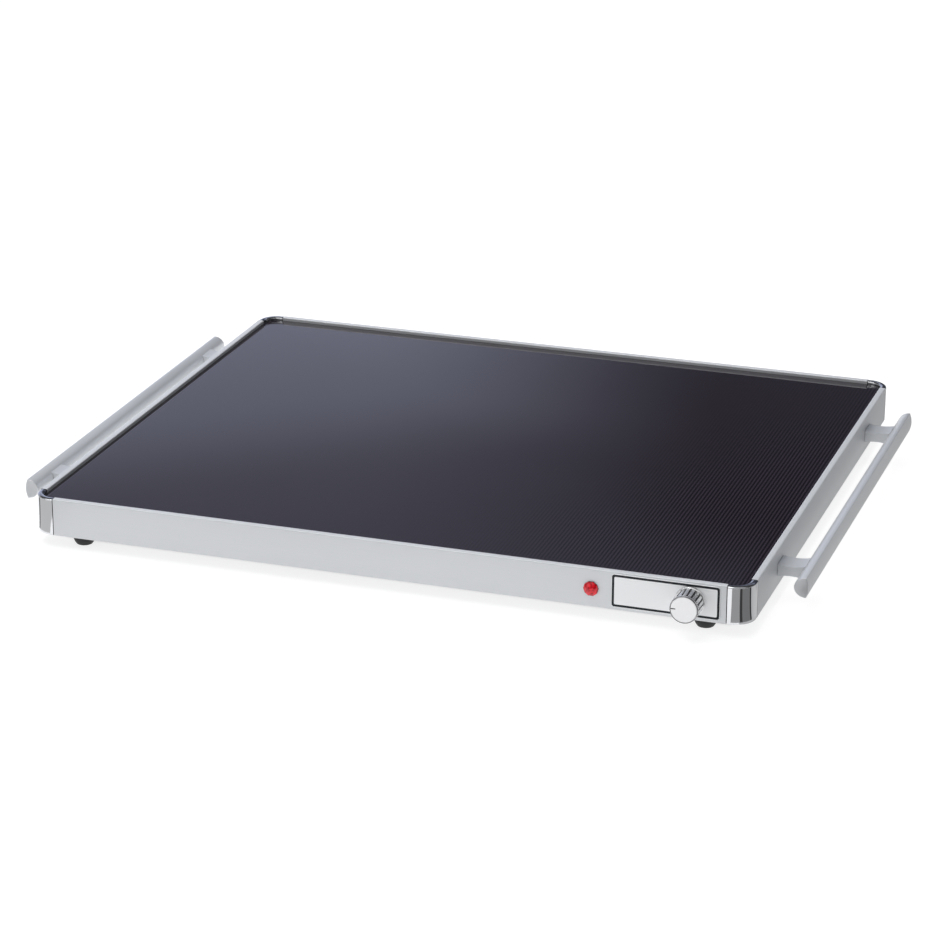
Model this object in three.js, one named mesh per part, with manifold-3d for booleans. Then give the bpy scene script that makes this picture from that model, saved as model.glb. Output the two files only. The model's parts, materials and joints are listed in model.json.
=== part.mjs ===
// A flat electric heater for massage stones: a shallow aluminium frame with chromed corner pieces, a dark
// glass plate over a heating foil, two carrying bars, a rotary control, a pilot lamp and a mains inlet.
// Millimetres, +Z up, standing on z = 0. X runs along the long side, and the control is on the -Y side.

import * as THREE from "three";
import { mergeVertices } from "three/addons/utils/BufferGeometryUtils.js";
import Module from "manifold-3d";

const wasm = await Module();
wasm.setup();

// ---------------------------------------------------------------- driving dimensions

const gap = 0.2; // between pieces that rest on each other
const clearance = 0.3; // round a screw, wire or pin in its hole
const quarterTurn = Math.PI / 2;

const frame = {
  width: 600, // along X, outer faces
  depth: 511, // along Y, outer faces
  bottom: 9.5,
  top: 41,
  wall: 2,
  land: 5.5, // width of the flat top edge
  topRound: 1.2,
  landChamfer: 0.5,
  ledge: { reach: 14, bottom: 31.7, top: 33.2 }, // carries the glass
  flange: { reach: 22, bottom: 11.2, top: 12.7 }, // carries the base pan
  cornerRadius: 17,
};

const glass = { thickness: 4, top: 38.2, edge: 6.7, chamfer: 0.4 }; // edge: inset from the outer face
const sealLip = 13; // how far the seal reaches under the glass, from the outer face

const cornerSteps = 13; // flats round each corner's arc
const cornerLeg = (frame.cornerRadius * quarterTurn) / cornerSteps;
const cornerReach = frame.cornerRadius + cornerLeg; // from the outer face to the seam
const tongue = { length: 30, bottom: 12.9, top: 16.4, sideReach: 10 };

const foot = { x: 260.8, inset: 16, height: 9.4, topRadius: 9.5, soleRadius: 6.6 };
const footRecess = { radius: 4.3, depth: 3.4 };
const screwRadius = 2;
const panHead = { radius: 3.6, height: 1.9, recessReach: 2, recessHalf: 0.45, recessDepth: 1 };

const handle = { length: 402, height: 16.4, outer: 31.4, inner: 20, z: 24.4, crown: 1.5 };
const handleScrewStop = 3.5; // what is left of the bar past the end of its screw hole
const bracket = { spacing: 323, width: 20.2, railHeight: 10, barHeight: 12.5, waist: 4.4, barGrip: 6 };

const controlX = 252.5;
const controlZ = 25.9;
const lamp = { x: 173.4, z: 24.8, lensRadius: 6.4, bodyRadius: 4.8, bodyLength: 20 };
const lampRing = { outer: 6.5, thickness: 1.2 }; // the push-on clip behind the wall
const label = { x: 232.8, z: 25.9, width: 86, height: 27.3, corner: 3.3, thickness: 0.6 };
const knob = { back: 1.3, front: 20.8, faceRadius: 11.2, bandRadius: 11.3, skirtRadius: 11.9, ribs: 18 };
const knobCap = { thickness: 2.2, gap: 0.8, edge: 0.8, neckInset: 0.9 };
const knobSkirt = { thickness: 3.2, chamfer: 0.5 };
const knobGroove = { depth: 0.8, share: 0.2 };
const shaft = { radius: 3, clearance: 0.15, back: -5.5, shoulder: 6, tip: 16, flat: 1.5 };
const control = { halfX: 8, halfY: 5.5, depth: 10, bushRadius: 4.5, bushLength: 6 };
const controlNut = { acrossFlats: 13, top: 2.8 };

const inlet = { x: 190, z: 21.3, width: 50, height: 22.5, flange: 3, pinPitch: 7, screwPitch: 20 };

const sheet = { halfX: 282, halfY: 239, corner: 6, bottom: 32.2, top: 33.3 }; // carries the heating foil
const blanket = { halfX: 278, halfY: 222, corner: 8, bottom: 26.8, top: 31.9 }; // insulation
const foil = { bottom: 33.5, top: 33.95, track: 11, runs: 28, pitch: 17, halfX: 272 };
const foilTerminal = { x: 270, holeRadius: 3 }; // where the two wires reach the track's ends
const pan = { bottom: 9.7, top: 10.9 };
const vents = { x: 150, rows: 8, pitch: 12, halfLength: 30, radius: 1.75 };
const board = { left: 196, right: 260, front: -251, rear: -186, bottom: 16.8, top: 18.4 };
const wireRadius = 1.2;

const halfWidth = frame.width / 2;
const halfDepth = frame.depth / 2;
const footY = halfDepth - foot.inset;

// The whole assembly is shifted along Y so that its outermost points, knob and inlet, are centred.
const centringShift = (knob.front - gap - inlet.flange) / 2;

// ---------------------------------------------------------------- materials

function paint(color, roughness, metalness) {
  return new THREE.MeshStandardMaterial({ color, roughness, metalness });
}

const aluminium = paint(0xc4c6c9, 0.35, 0.9);
const chrome = paint(0xd8dadd, 0.08, 1);
const darkGlass = paint(0x2b2529, 0.08, 0);
const blackRubber = paint(0x141416, 0.7, 0);
const blackPlastic = paint(0x1b1b1d, 0.5, 0);
const steel = paint(0xa8aaad, 0.35, 1);
const brass = paint(0xc9a455, 0.3, 1);
const silverPanel = paint(0xe0e3ea, 0.4, 0.2);
const redLens = paint(0xd81f2c, 0.15, 0);
const paleMica = paint(0xc9b48a, 0.8, 0);
const whiteFibre = paint(0xeceae4, 0.95, 0);
const foilMetal = paint(0xb5854c, 0.3, 1);
const boardGreen = paint(0x1f6b45, 0.5, 0);
const whiteNylon = paint(0xe4e2da, 0.6, 0);
const brownWire = paint(0x6b3f22, 0.5, 0);
const blueWire = paint(0x2458a8, 0.5, 0);
const greenWire = paint(0x6fae2e, 0.5, 0);
const redWire = paint(0xa8261f, 0.5, 0);

// ---------------------------------------------------------------- solid helpers

function toSolid(geometry) {
  const bare = geometry.clone();
  bare.deleteAttribute("normal");
  bare.deleteAttribute("uv");
  const merged = mergeVertices(bare);
  const vertProperties = merged.attributes.position.array;
  const triVerts = new Uint32Array(merged.index.array);
  return new wasm.Manifold(new wasm.Mesh({ numProp: 3, vertProperties, triVerts }));
}

function toGeometry(solid) {
  const mesh = solid.getMesh();
  const geometry = new THREE.BufferGeometry();
  geometry.setAttribute("position", new THREE.BufferAttribute(mesh.vertProperties, 3));
  geometry.setIndex(new THREE.BufferAttribute(mesh.triVerts, 1));
  geometry.computeVertexNormals();
  return geometry;
}

function joined(...geometries) {
  return toGeometry(geometries.map(toSolid).reduce((sum, part) => sum.add(part)));
}

function cut(geometry, ...tools) {
  return toGeometry(tools.map(toSolid).reduce((rest, tool) => rest.subtract(tool), toSolid(geometry)));
}

function box(x0, x1, y0, y1, z0, z1) {
  const geometry = new THREE.BoxGeometry(x1 - x0, y1 - y0, z1 - z0);
  return geometry.translate((x0 + x1) / 2, (y0 + y1) / 2, (z0 + z1) / 2);
}

// A round bar along one axis; a and b are its place on the other two axes, in X, Y, Z order.
function rod(axis, radius, from, to, a, b, sides = radius > 3.5 ? 24 : 16) {
  const geometry = new THREE.CylinderGeometry(radius, radius, to - from, sides);
  const middle = (from + to) / 2;
  if (axis === "x") return geometry.rotateZ(quarterTurn).translate(middle, a, b);
  if (axis === "y") return geometry.translate(a, middle, b);
  return geometry.rotateX(quarterTurn).translate(a, b, middle);
}

// A flat outline in X and Y, given thickness along Z.
function plate(shape, z0, z1, curveSegments = 3) {
  const options = { depth: z1 - z0, bevelEnabled: false, curveSegments };
  return new THREE.ExtrudeGeometry(shape, options).translate(0, 0, z0);
}

// A cross-section in Y and Z, run along X and centred on x = 0.
function runAlongX(shape, length, curveSegments = 2) {
  const geometry = new THREE.ExtrudeGeometry(shape, { depth: length, bevelEnabled: false, curveSegments });
  const toX = new THREE.Matrix4().makeBasis(
    new THREE.Vector3(0, 1, 0),
    new THREE.Vector3(0, 0, 1),
    new THREE.Vector3(1, 0, 0),
  );
  return geometry.translate(0, 0, -length / 2).applyMatrix4(toX);
}

function roundedRectangle(halfX, halfY, radius, outline = new THREE.Shape()) {
  outline.moveTo(-halfX + radius, -halfY);
  outline.lineTo(halfX - radius, -halfY);
  outline.absarc(halfX - radius, -halfY + radius, radius, -quarterTurn, 0, false);
  outline.lineTo(halfX, halfY - radius);
  outline.absarc(halfX - radius, halfY - radius, radius, 0, quarterTurn, false);
  outline.lineTo(-halfX + radius, halfY);
  outline.absarc(-halfX + radius, halfY - radius, radius, quarterTurn, 2 * quarterTurn, false);
  outline.lineTo(-halfX, -halfY + radius);
  outline.absarc(-halfX + radius, -halfY + radius, radius, 2 * quarterTurn, 3 * quarterTurn, false);
  return outline;
}

// The frame's outline moved inwards by an inset from the outer faces.
function frameOutline(inset, outline = new THREE.Shape()) {
  return roundedRectangle(halfWidth - inset, halfDepth - inset, frame.cornerRadius - inset, outline);
}

// A round hole as a many-sided path, for use in an outline's holes.
function circlePath(x, y, radius, sides = 16) {
  const points = [];
  for (let i = 0; i < sides; i += 1) {
    const angle = (-4 * quarterTurn * i) / sides;
    points.push(new THREE.Vector2(x + radius * Math.cos(angle), y + radius * Math.sin(angle)));
  }
  return new THREE.Path(points);
}

function polygon(points) {
  return new THREE.Shape(points.map(([x, y]) => new THREE.Vector2(x, y)));
}

// ---------------------------------------------------------------- scene graph

const heater = new THREE.Group();
heater.position.y = centringShift;

function place(parent, name, geometry, material) {
  const mesh = new THREE.Mesh(geometry, material);
  mesh.name = name;
  parent.add(mesh);
  return mesh;
}

// One side of the frame: y = 0 is its outer face, -y points out of it, and x runs along it.
function frameSide(quarterTurns, reach) {
  const turned = new THREE.Group();
  turned.rotation.z = quarterTurns * quarterTurn;
  const side = new THREE.Group();
  side.position.y = -reach;
  turned.add(side);
  heater.add(turned);
  return side;
}

// A place on a side where +z points straight out of it and +y points up.
function facingOut(side, x, z) {
  const facing = new THREE.Group();
  facing.position.set(x, 0, z);
  facing.rotation.x = quarterTurn;
  side.add(facing);
  return facing;
}

const frontSide = frameSide(0, halfDepth);
const rightSide = frameSide(1, halfWidth);
const rearSide = frameSide(2, halfDepth);
const leftSide = frameSide(3, halfWidth);

// ---------------------------------------------------------------- frame rails and corner pieces

// The top of the section, shared by rails and corners: outer wall, rounded land and glass ledge.
function upperSection() {
  const { bottom, top, wall, land, topRound, landChamfer, ledge } = frame;
  const outline = new THREE.Shape();
  outline.moveTo(0, bottom);
  outline.lineTo(0, top - topRound);
  outline.absarc(topRound, top - topRound, topRound, 2 * quarterTurn, quarterTurn, true);
  outline.lineTo(land - landChamfer, top);
  outline.lineTo(land, top - landChamfer);
  outline.lineTo(land, ledge.top);
  outline.lineTo(ledge.reach, ledge.top);
  outline.lineTo(ledge.reach, ledge.bottom);
  outline.lineTo(wall, ledge.bottom);
  return outline;
}

function railSection() {
  const { bottom, wall, flange } = frame;
  const outline = upperSection();
  outline.lineTo(wall, flange.top);
  outline.lineTo(flange.reach, flange.top);
  outline.lineTo(flange.reach, flange.bottom);
  outline.lineTo(wall, flange.bottom);
  outline.lineTo(wall, bottom);
  outline.closePath();
  return outline;
}

function rail(reachAlong) {
  return runAlongX(railSection(), 2 * (reachAlong - cornerReach - gap));
}

// The side rails' flanges stop short of the front and rear rails' flanges.
function flangeNotches() {
  const { wall, flange } = frame;
  const start = halfDepth - flange.reach - 1;
  return [-1, 1].map((end) => {
    const [x0, x1] = end > 0 ? [start, halfDepth] : [-halfDepth, -start];
    return box(x0, x1, wall + 1, flange.reach + 1, flange.bottom - 1, flange.top + 1);
  });
}

// A hole through a side's wall, at x and z on that side.
function wallHole(radius, x, z) {
  return rod("y", radius, -1, frame.wall + 1, x, z);
}

function footScrewHole(x) {
  const radius = screwRadius + clearance;
  return rod("z", radius, frame.flange.bottom - 1, frame.flange.top + 1, x, foot.inset);
}

function handleScrewHoles() {
  const radius = screwRadius + clearance;
  return [-1, 1].map((end) => wallHole(radius, (end * bracket.spacing) / 2, handle.z));
}

// The outer line of a corner, seen from above: a short leg, a quarter circle and another leg.
class CornerLine extends THREE.Curve {
  getPoint(t, target = new THREE.Vector3()) {
    const steps = t * (cornerSteps + 2);
    const radius = frame.cornerRadius;
    if (steps < 1) return target.set((steps - 1) * cornerLeg, -radius, 0);
    if (steps > cornerSteps + 1) return target.set(radius, (steps - cornerSteps - 1) * cornerLeg, 0);
    const angle = ((steps - 1) / cornerSteps) * quarterTurn;
    return target.set(radius * Math.sin(angle), -radius * Math.cos(angle), 0);
  }
}

// The corner's skin: the rail's upper section swept round the corner line.
function cornerSkin() {
  const outline = upperSection();
  outline.lineTo(frame.wall, frame.bottom);
  outline.closePath();
  const points = outline.getPoints(2).map((point) => [-point.y, point.x]);
  const extrudePath = new CornerLine();
  return new THREE.ExtrudeGeometry(polygon(points), { steps: cornerSteps + 2, extrudePath });
}

// The solid block behind the skin, kept clear of the seams.
function cornerBlock() {
  const inner = -cornerLeg + gap;
  const outer = frame.cornerRadius - frame.wall / 2;
  const outline = new THREE.Shape();
  outline.moveTo(inner, -outer);
  outline.lineTo(0, -outer);
  outline.absarc(0, 0, outer, -quarterTurn, 0, false);
  outline.lineTo(outer, -inner);
  outline.lineTo(inner, -inner);
  outline.closePath();
  const overlap = 0.3;
  return plate(outline, frame.flange.bottom, frame.ledge.bottom + overlap);
}

// Flat tongues that slide into the rails on both sides of the corner.
function cornerTongues(alongFrontReach, alongSideReach) {
  const inside = frame.wall + clearance;
  const outerFace = frame.cornerRadius;
  const start = cornerLeg + tongue.length;
  const { bottom, top } = tongue;
  return [
    box(-start, 1, -outerFace + inside, -outerFace + alongFrontReach, bottom, top),
    box(outerFace - alongSideReach, outerFace - inside, -1, start, bottom, top),
  ];
}

// Corners are turned in place, so on two of them the screwed tongue lies on the other leg.
function cornerPiece(screwOnFirstLeg) {
  const screwReach = frame.flange.reach;
  const reaches = screwOnFirstLeg ? [screwReach, tongue.sideReach] : [tongue.sideReach, screwReach];
  const solid = joined(cornerSkin(), cornerBlock(), ...cornerTongues(...reaches));
  const along = foot.x - halfWidth + frame.cornerRadius;
  const across = foot.inset - frame.cornerRadius;
  const [x, y] = screwOnFirstLeg ? [along, across] : [-across, -along];
  return cut(solid, rod("z", screwRadius + clearance, tongue.bottom - 1, tongue.top + 1, x, y));
}

function addFrame() {
  const bushHole = wallHole(control.bushRadius + clearance, controlX, controlZ);
  const lampHole = wallHole(lamp.bodyRadius + gap, lamp.x, lamp.z);
  const footHoles = [footScrewHole(-foot.x), footScrewHole(foot.x)];
  place(frontSide, "front_rail", cut(rail(halfWidth), bushHole, lampHole, ...footHoles), aluminium);
  place(rearSide, "rear_rail", cut(rail(halfWidth), ...inletHoles(), ...footHoles), aluminium);
  for (const [side, name] of [[leftSide, "left_rail"], [rightSide, "right_rail"]]) {
    place(side, name, cut(rail(halfDepth), ...handleScrewHoles(), ...flangeNotches()), aluminium);
  }
  const names = ["front_right", "rear_right", "rear_left", "front_left"];
  names.forEach((name, turns) => {
    const corner = place(heater, "corner_" + name, cornerPiece(turns % 2 === 0), chrome);
    const signX = name.endsWith("right") ? 1 : -1;
    const signY = name.startsWith("rear") ? 1 : -1;
    corner.position.x = signX * (halfWidth - frame.cornerRadius);
    corner.position.y = signY * (halfDepth - frame.cornerRadius);
    corner.rotation.z = turns * quarterTurn;
  });
}

// ---------------------------------------------------------------- glass and its seal

function glassPlate() {
  const { top, thickness, edge, chamfer } = glass;
  const options = {
    depth: thickness - 2 * chamfer,
    bevelThickness: chamfer,
    bevelSize: chamfer,
    bevelOffset: -chamfer,
    bevelSegments: 1,
    curveSegments: 4,
  };
  const geometry = new THREE.ExtrudeGeometry(frameOutline(edge), options);
  return geometry.translate(0, 0, top - thickness + chamfer);
}

// An angle-section ring: an upright beside the glass and a lip under it.
function glassSeal() {
  const bottom = frame.ledge.top + gap;
  const lipTop = glass.top - glass.thickness - gap;
  const outer = frame.land + gap;
  const upright = frameOutline(outer);
  upright.holes.push(frameOutline(glass.edge - gap, new THREE.Path()));
  const lip = frameOutline(outer);
  lip.holes.push(frameOutline(sealLip, new THREE.Path()));
  return joined(plate(upright, bottom, glass.top), plate(lip, bottom, lipTop));
}

// ---------------------------------------------------------------- heating layers

// A flat strip of constant width along a path that turns only at right angles.
function ribbon(path, width) {
  const half = width / 2;
  const left = [];
  const right = [];
  path.forEach(([x, y], i) => {
    const before = path[Math.max(i - 1, 0)];
    const after = path[Math.min(i + 1, path.length - 1)];
    const [inX, inY] = [Math.sign(x - before[0]), Math.sign(y - before[1])];
    const [outX, outY] = [Math.sign(after[0] - x), Math.sign(after[1] - y)];
    const straight = inX === outX && inY === outY;
    const [sideX, sideY] = straight ? [-inY, inX] : [-inY - outY, inX + outX];
    left.push([x + half * sideX, y + half * sideY]);
    right.unshift([x - half * sideX, y - half * sideY]);
  });
  return polygon([...left, ...right]);
}

// The foil's track runs to and fro along X, with both ends on the right.
function heatingFoil() {
  const path = [];
  for (let run = 0; run < foil.runs; run += 1) {
    const y = (run - (foil.runs - 1) / 2) * foil.pitch;
    const ends = run % 2 === 0 ? [foil.halfX, -foil.halfX] : [-foil.halfX, foil.halfX];
    ends.forEach((x) => path.push([x, y]));
  }
  return plate(ribbon(path, foil.track), foil.bottom, foil.top);
}

const foilEndY = ((foil.runs - 1) / 2) * foil.pitch;
const cutout = { x: 225, y: -120, halfLength: 11, halfWidth: 6, bottom: 27, top: 31.9 };
const cutoutTab = { length: 8, halfWidth: 3.15, bottom: 28, top: 28.8 };
const probe = { left: 130, right: 152, y: -150, z: 29.6, radius: 2.3 };

function backingSheet() {
  const outline = roundedRectangle(sheet.halfX, sheet.halfY, sheet.corner);
  const { x, holeRadius } = foilTerminal;
  [-1, 1].forEach((end) => outline.holes.push(circlePath(x, end * foilEndY, holeRadius)));
  return plate(outline, sheet.bottom, sheet.top);
}

// A rectangular window, as a hole in an outline.
function windowPath(x0, x1, y0, y1) {
  const corners = [[x0, y0], [x0, y1], [x1, y1], [x1, y0]];
  return new THREE.Path(corners.map(([x, y]) => new THREE.Vector2(x, y)));
}

function insulationBlanket() {
  const outline = roundedRectangle(blanket.halfX, blanket.halfY, blanket.corner);
  const cutoutReach = cutout.halfLength + cutoutTab.length + 2;
  const cutoutHalf = cutout.halfWidth + 3;
  const probeHalf = probe.radius + 1.7;
  const leadRoom = 9;
  outline.holes.push(
    windowPath(cutout.x - cutoutReach, cutout.x + cutoutReach, cutout.y - cutoutHalf, cutout.y + cutoutHalf),
    windowPath(probe.left - 5, probe.right + leadRoom, probe.y - probeHalf, probe.y + probeHalf),
  );
  return plate(outline, blanket.bottom, blanket.top);
}

function thermalCutout() {
  const { x, y, halfLength, halfWidth: half, bottom, top } = cutout;
  const body = box(x - halfLength, x + halfLength, y - half, y + half, bottom, top);
  const tab = cutoutTab;
  const reach = halfLength + tab.length;
  return joined(body, box(x - reach, x + reach, y - tab.halfWidth, y + tab.halfWidth, tab.bottom, tab.top));
}

// ---------------------------------------------------------------- base pan and feet

function ventSlots() {
  const slots = [];
  const { x: groupX, rows, pitch, halfLength, radius } = vents;
  for (const side of [-1, 1]) {
    for (let row = 0; row < rows; row += 1) {
      const x = side * groupX;
      const y = (row - (rows - 1) / 2) * pitch;
      const slot = new THREE.Path();
      slot.absarc(x + halfLength, y, radius, quarterTurn, -quarterTurn, true);
      slot.absarc(x - halfLength, y, radius, -quarterTurn, -3 * quarterTurn, true);
      slot.closePath();
      slots.push(slot);
    }
  }
  return slots;
}

function basePan() {
  const outline = frameOutline(frame.wall + clearance);
  outline.holes.push(...ventSlots());
  for (const x of [-foot.x, foot.x]) {
    for (const y of [-footY, footY]) outline.holes.push(circlePath(x, y, screwRadius + clearance));
  }
  return plate(outline, pan.bottom, pan.top, 2);
}

function rubberFoot() {
  const { height, topRadius, soleRadius } = foot;
  const hole = screwRadius + clearance;
  const flare = [0, 0.1, 0.25, 0.45, 0.7, 1].map((share) => {
    const swell = 1 - (1 - share) ** 2.4;
    return [soleRadius + swell * (topRadius - soleRadius), share * height];
  });
  const profile = [
    [footRecess.radius, 0],
    ...flare,
    [hole, height],
    [hole, footRecess.depth],
    [footRecess.radius, footRecess.depth],
    [footRecess.radius, 0],
  ];
  return new THREE.LatheGeometry(profile.map(([r, z]) => new THREE.Vector2(r, z)), 20).rotateX(quarterTurn);
}

// The two bars of a cross-shaped recess in a screw's head.
function crossRecess(reach, halfWide, z0, z1) {
  return [box(-reach, reach, -halfWide, halfWide, z0, z1), box(-halfWide, halfWide, -reach, reach, z0, z1)];
}

// A pan-head cross-recess screw that points up, its head's underside at z = 0.
function upwardScrew(length) {
  const { radius, height, recessReach, recessHalf, recessDepth } = panHead;
  const head = new THREE.CylinderGeometry(radius, radius * 0.8, height, 16);
  head.rotateX(quarterTurn).translate(0, 0, -height / 2);
  const shank = rod("z", screwRadius, -height / 2, length, 0, 0, 12);
  const recess = crossRecess(recessReach, recessHalf, -height - 1, -height + recessDepth);
  return cut(joined(head, shank), ...recess);
}

function addFeet() {
  const screwLength = tongue.top - footRecess.depth + 0.5;
  for (const [frontOrRear, signY] of [["front", -1], ["rear", 1]]) {
    for (const [side, signX] of [["left", -1], ["right", 1]]) {
      const name = "_" + frontOrRear + "_" + side;
      const shoe = place(heater, "foot" + name, rubberFoot(), blackRubber);
      shoe.position.set(signX * foot.x, signY * footY, 0);
      const screw = place(heater, "foot_screw" + name, upwardScrew(screwLength), steel);
      screw.position.set(signX * foot.x, signY * footY, footRecess.depth - gap);
    }
  }
}

// ---------------------------------------------------------------- carrying bars

// The bar's section: a slightly crowned outer face with crisp edges and an elliptical inner side.
function barSection(grow = 0) {
  const half = handle.height / 2 + grow;
  const ridge = -handle.outer + handle.crown;
  const outline = new THREE.Shape();
  outline.moveTo(ridge, handle.z + half);
  outline.lineTo(-handle.outer - grow, handle.z);
  outline.lineTo(ridge, handle.z - half);
  const depth = -handle.inner + grow - ridge;
  outline.absellipse(ridge, handle.z, depth, half, -quarterTurn, quarterTurn, false);
  return outline;
}

function handleBar() {
  const stop = -handle.outer + handleScrewStop;
  const holes = [-1, 1].map((end) => {
    const x = (end * bracket.spacing) / 2;
    return rod("y", screwRadius + clearance, stop, -handle.inner + 1, x, handle.z, 12);
  });
  return cut(runAlongX(barSection(), handle.length, 5), ...holes);
}

// A waisted bracket between the rail's face and the bar, its outer end shaped to the bar.
function handleBracket() {
  const { width, railHeight, barHeight, waist, barGrip } = bracket;
  const reach = -handle.outer + barGrip;
  const outline = new THREE.Shape();
  outline.moveTo(-gap, handle.z - railHeight / 2);
  outline.quadraticCurveTo(reach / 2, handle.z - waist / 2, reach, handle.z - barHeight / 2);
  outline.lineTo(reach, handle.z + barHeight / 2);
  outline.quadraticCurveTo(reach / 2, handle.z + waist / 2, -gap, handle.z + railHeight / 2);
  outline.closePath();
  const barSpace = runAlongX(barSection(gap), width + 2, 5);
  const hole = rod("y", screwRadius + clearance, -handle.outer, 1, 0, handle.z, 12);
  return cut(runAlongX(outline, width, 6), barSpace, hole);
}

function handleScrew() {
  const length = handle.outer - handleScrewStop - 0.5 + frame.wall + gap;
  return upwardScrew(length).rotateX(quarterTurn).translate(0, frame.wall + gap, 0);
}

function addHandle(side, name, endNames) {
  place(side, "handle_bar_" + name, handleBar(), aluminium);
  endNames.forEach((endName, index) => {
    const x = ((index === 0 ? -1 : 1) * bracket.spacing) / 2;
    place(side, "handle_bracket_" + endName + "_" + name, handleBracket(), aluminium).position.x = x;
    place(side, "handle_screw_" + endName + "_" + name, handleScrew(), steel).position.set(x, 0, handle.z);
  });
}

// ---------------------------------------------------------------- label, knob and control

const labelHoleRadius = 8.2;

function labelPanel() {
  const outline = roundedRectangle(label.width / 2, label.height / 2, label.corner);
  outline.holes.push(circlePath(controlX - label.x, controlZ - label.z, labelHoleRadius, 24));
  return plate(outline, gap, gap + label.thickness);
}

// A disc outline with narrow grooves cut into its rim.
function ribbedOutline(radius, depth) {
  const points = [];
  const step = (4 * quarterTurn) / knob.ribs;
  const { share: grooveShare } = knobGroove;
  const stops = [[0, 0], [grooveShare, 0], [grooveShare, 1], [(1 + grooveShare) / 2, 1], [1, 1]];
  for (let rib = 0; rib < knob.ribs; rib += 1) {
    for (const [share, isLand] of stops) {
      const angle = (rib + share) * step;
      const reach = radius - (isLand ? 0 : depth);
      points.push([reach * Math.cos(angle), reach * Math.sin(angle)]);
    }
  }
  return polygon(points);
}

function turnedRing(profile, sides = 32) {
  const points = profile.map(([r, z]) => new THREE.Vector2(r, z));
  return new THREE.LatheGeometry(points, sides).rotateX(quarterTurn);
}

// A D-shaped bar: a round with one flat on its upper side.
function dRod(radius, flatHeight, z0, z1) {
  const round = rod("z", radius, z0, z1, 0, 0);
  return cut(round, box(-radius - 1, radius + 1, flatHeight, radius + 1, z0 - 1, z1 + 1));
}

const faceDisc = { radius: 10.3, thickness: 0.8 };
const knobRecess = { radius: 8.6, depth: 5.5 };

// The knob turns on +z: cap, narrow neck, ribbed band and plain skirt, hollow behind.
function controlKnob() {
  const { back, front, faceRadius, bandRadius, skirtRadius } = knob;
  const { chamfer } = knobSkirt;
  const capBack = front - knobCap.thickness;
  const bandFront = capBack - knobCap.gap;
  const skirtFront = back + knobSkirt.thickness;
  const neckRadius = faceRadius - knobCap.neckInset;
  const body = turnedRing([
    [0, back],
    [skirtRadius - chamfer, back],
    [skirtRadius, back + chamfer],
    [skirtRadius, skirtFront - chamfer],
    [neckRadius, skirtFront + chamfer],
    [neckRadius, capBack],
    [faceRadius, capBack + clearance],
    [faceRadius, front - knobCap.edge],
    [faceRadius - knobCap.edge, front],
    [0, front],
  ]);
  const band = plate(ribbedOutline(bandRadius, knobGroove.depth), skirtFront - gap, bandFront);
  const recess = rod("z", knobRecess.radius, back - 1, back + knobRecess.depth, 0, 0);
  const bore = dRod(shaft.radius + gap / 2, shaft.flat + gap / 2, back, shaft.tip + clearance);
  const discSeat = rod("z", faceDisc.radius + gap / 2, front - faceDisc.thickness, front + 1, 0, 0, 36);
  return cut(joined(body, band), recess, bore, discSeat);
}

// The inlaid disc, with the pointer line engraved at its left rim.
function knobFaceDisc() {
  const top = knob.front;
  const disc = rod("z", faceDisc.radius, top - faceDisc.thickness + gap / 2, top, 0, 0, 36);
  const pointer = { length: 4, halfWide: 0.4, depth: 0.3 };
  const { radius } = faceDisc;
  const { length, halfWide, depth } = pointer;
  const groove = box(-radius - 1, -radius + length, -halfWide, halfWide, top - depth, top + 1);
  return cut(disc, groove);
}

function controlShaft() {
  const round = rod("z", shaft.radius, shaft.back, shaft.shoulder + clearance, 0, 0);
  return joined(round, dRod(shaft.radius, shaft.flat, shaft.shoulder, shaft.tip));
}

function controlBody() {
  const { halfX, halfY, depth, bushRadius, bushLength } = control;
  const front = -frame.wall - gap;
  const caseBox = box(-halfX, halfX, -halfY, halfY, front - depth, front);
  const bush = rod("z", bushRadius, front - 1, bushLength, 0, 0);
  const bore = rod("z", shaft.radius + shaft.clearance, shaft.back - 0.5, bushLength + 1, 0, 0);
  return cut(joined(caseBox, bush), bore);
}

function hexNut(acrossFlats, holeRadius, z0, z1) {
  const cornerRadius = acrossFlats / Math.sqrt(3);
  return cut(rod("z", cornerRadius, z0, z1, 0, 0, 6), rod("z", holeRadius, z0 - 1, z1 + 1, 0, 0));
}

function addControl() {
  const labelPlace = facingOut(frontSide, label.x, label.z);
  place(labelPlace, "label_panel", labelPanel(), silverPanel);
  const knobPlace = facingOut(frontSide, controlX, controlZ);
  place(knobPlace, "control_knob", controlKnob(), chrome);
  place(knobPlace, "knob_face_disc", knobFaceDisc(), aluminium);
  place(knobPlace, "potentiometer_shaft", controlShaft(), steel);
  place(knobPlace, "potentiometer_body", controlBody(), blackPlastic);
  const nut = hexNut(controlNut.acrossFlats, control.bushRadius + gap, gap, controlNut.top);
  place(knobPlace, "potentiometer_nut", nut, steel);
}

// ---------------------------------------------------------------- pilot lamp

// A low dome turned with few sides, so that it is faceted like a cut jewel.
function lampLens() {
  const r = lamp.lensRadius;
  return turnedRing([[0, gap], [r, gap], [r, 0.9], [0.84 * r, 2.4], [0.52 * r, 3.6], [0, 4.1]], 10);
}

function lampClip() {
  const near = -frame.wall - gap;
  const inner = lamp.bodyRadius + gap;
  const { outer, thickness } = lampRing;
  const far = near - thickness;
  const section = [[inner, far], [outer, far], [outer, near], [inner, near], [inner, far]];
  return turnedRing(section, 18);
}

function addLamp() {
  const lampPlace = facingOut(frontSide, lamp.x, lamp.z);
  place(lampPlace, "pilot_lamp_lens", lampLens(), redLens);
  place(lampPlace, "pilot_lamp_body", rod("z", lamp.bodyRadius, -lamp.bodyLength, 0, 0, 0), blackPlastic);
  place(lampPlace, "pilot_lamp_clip", lampClip(), steel);
}

// ---------------------------------------------------------------- mains inlet

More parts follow.
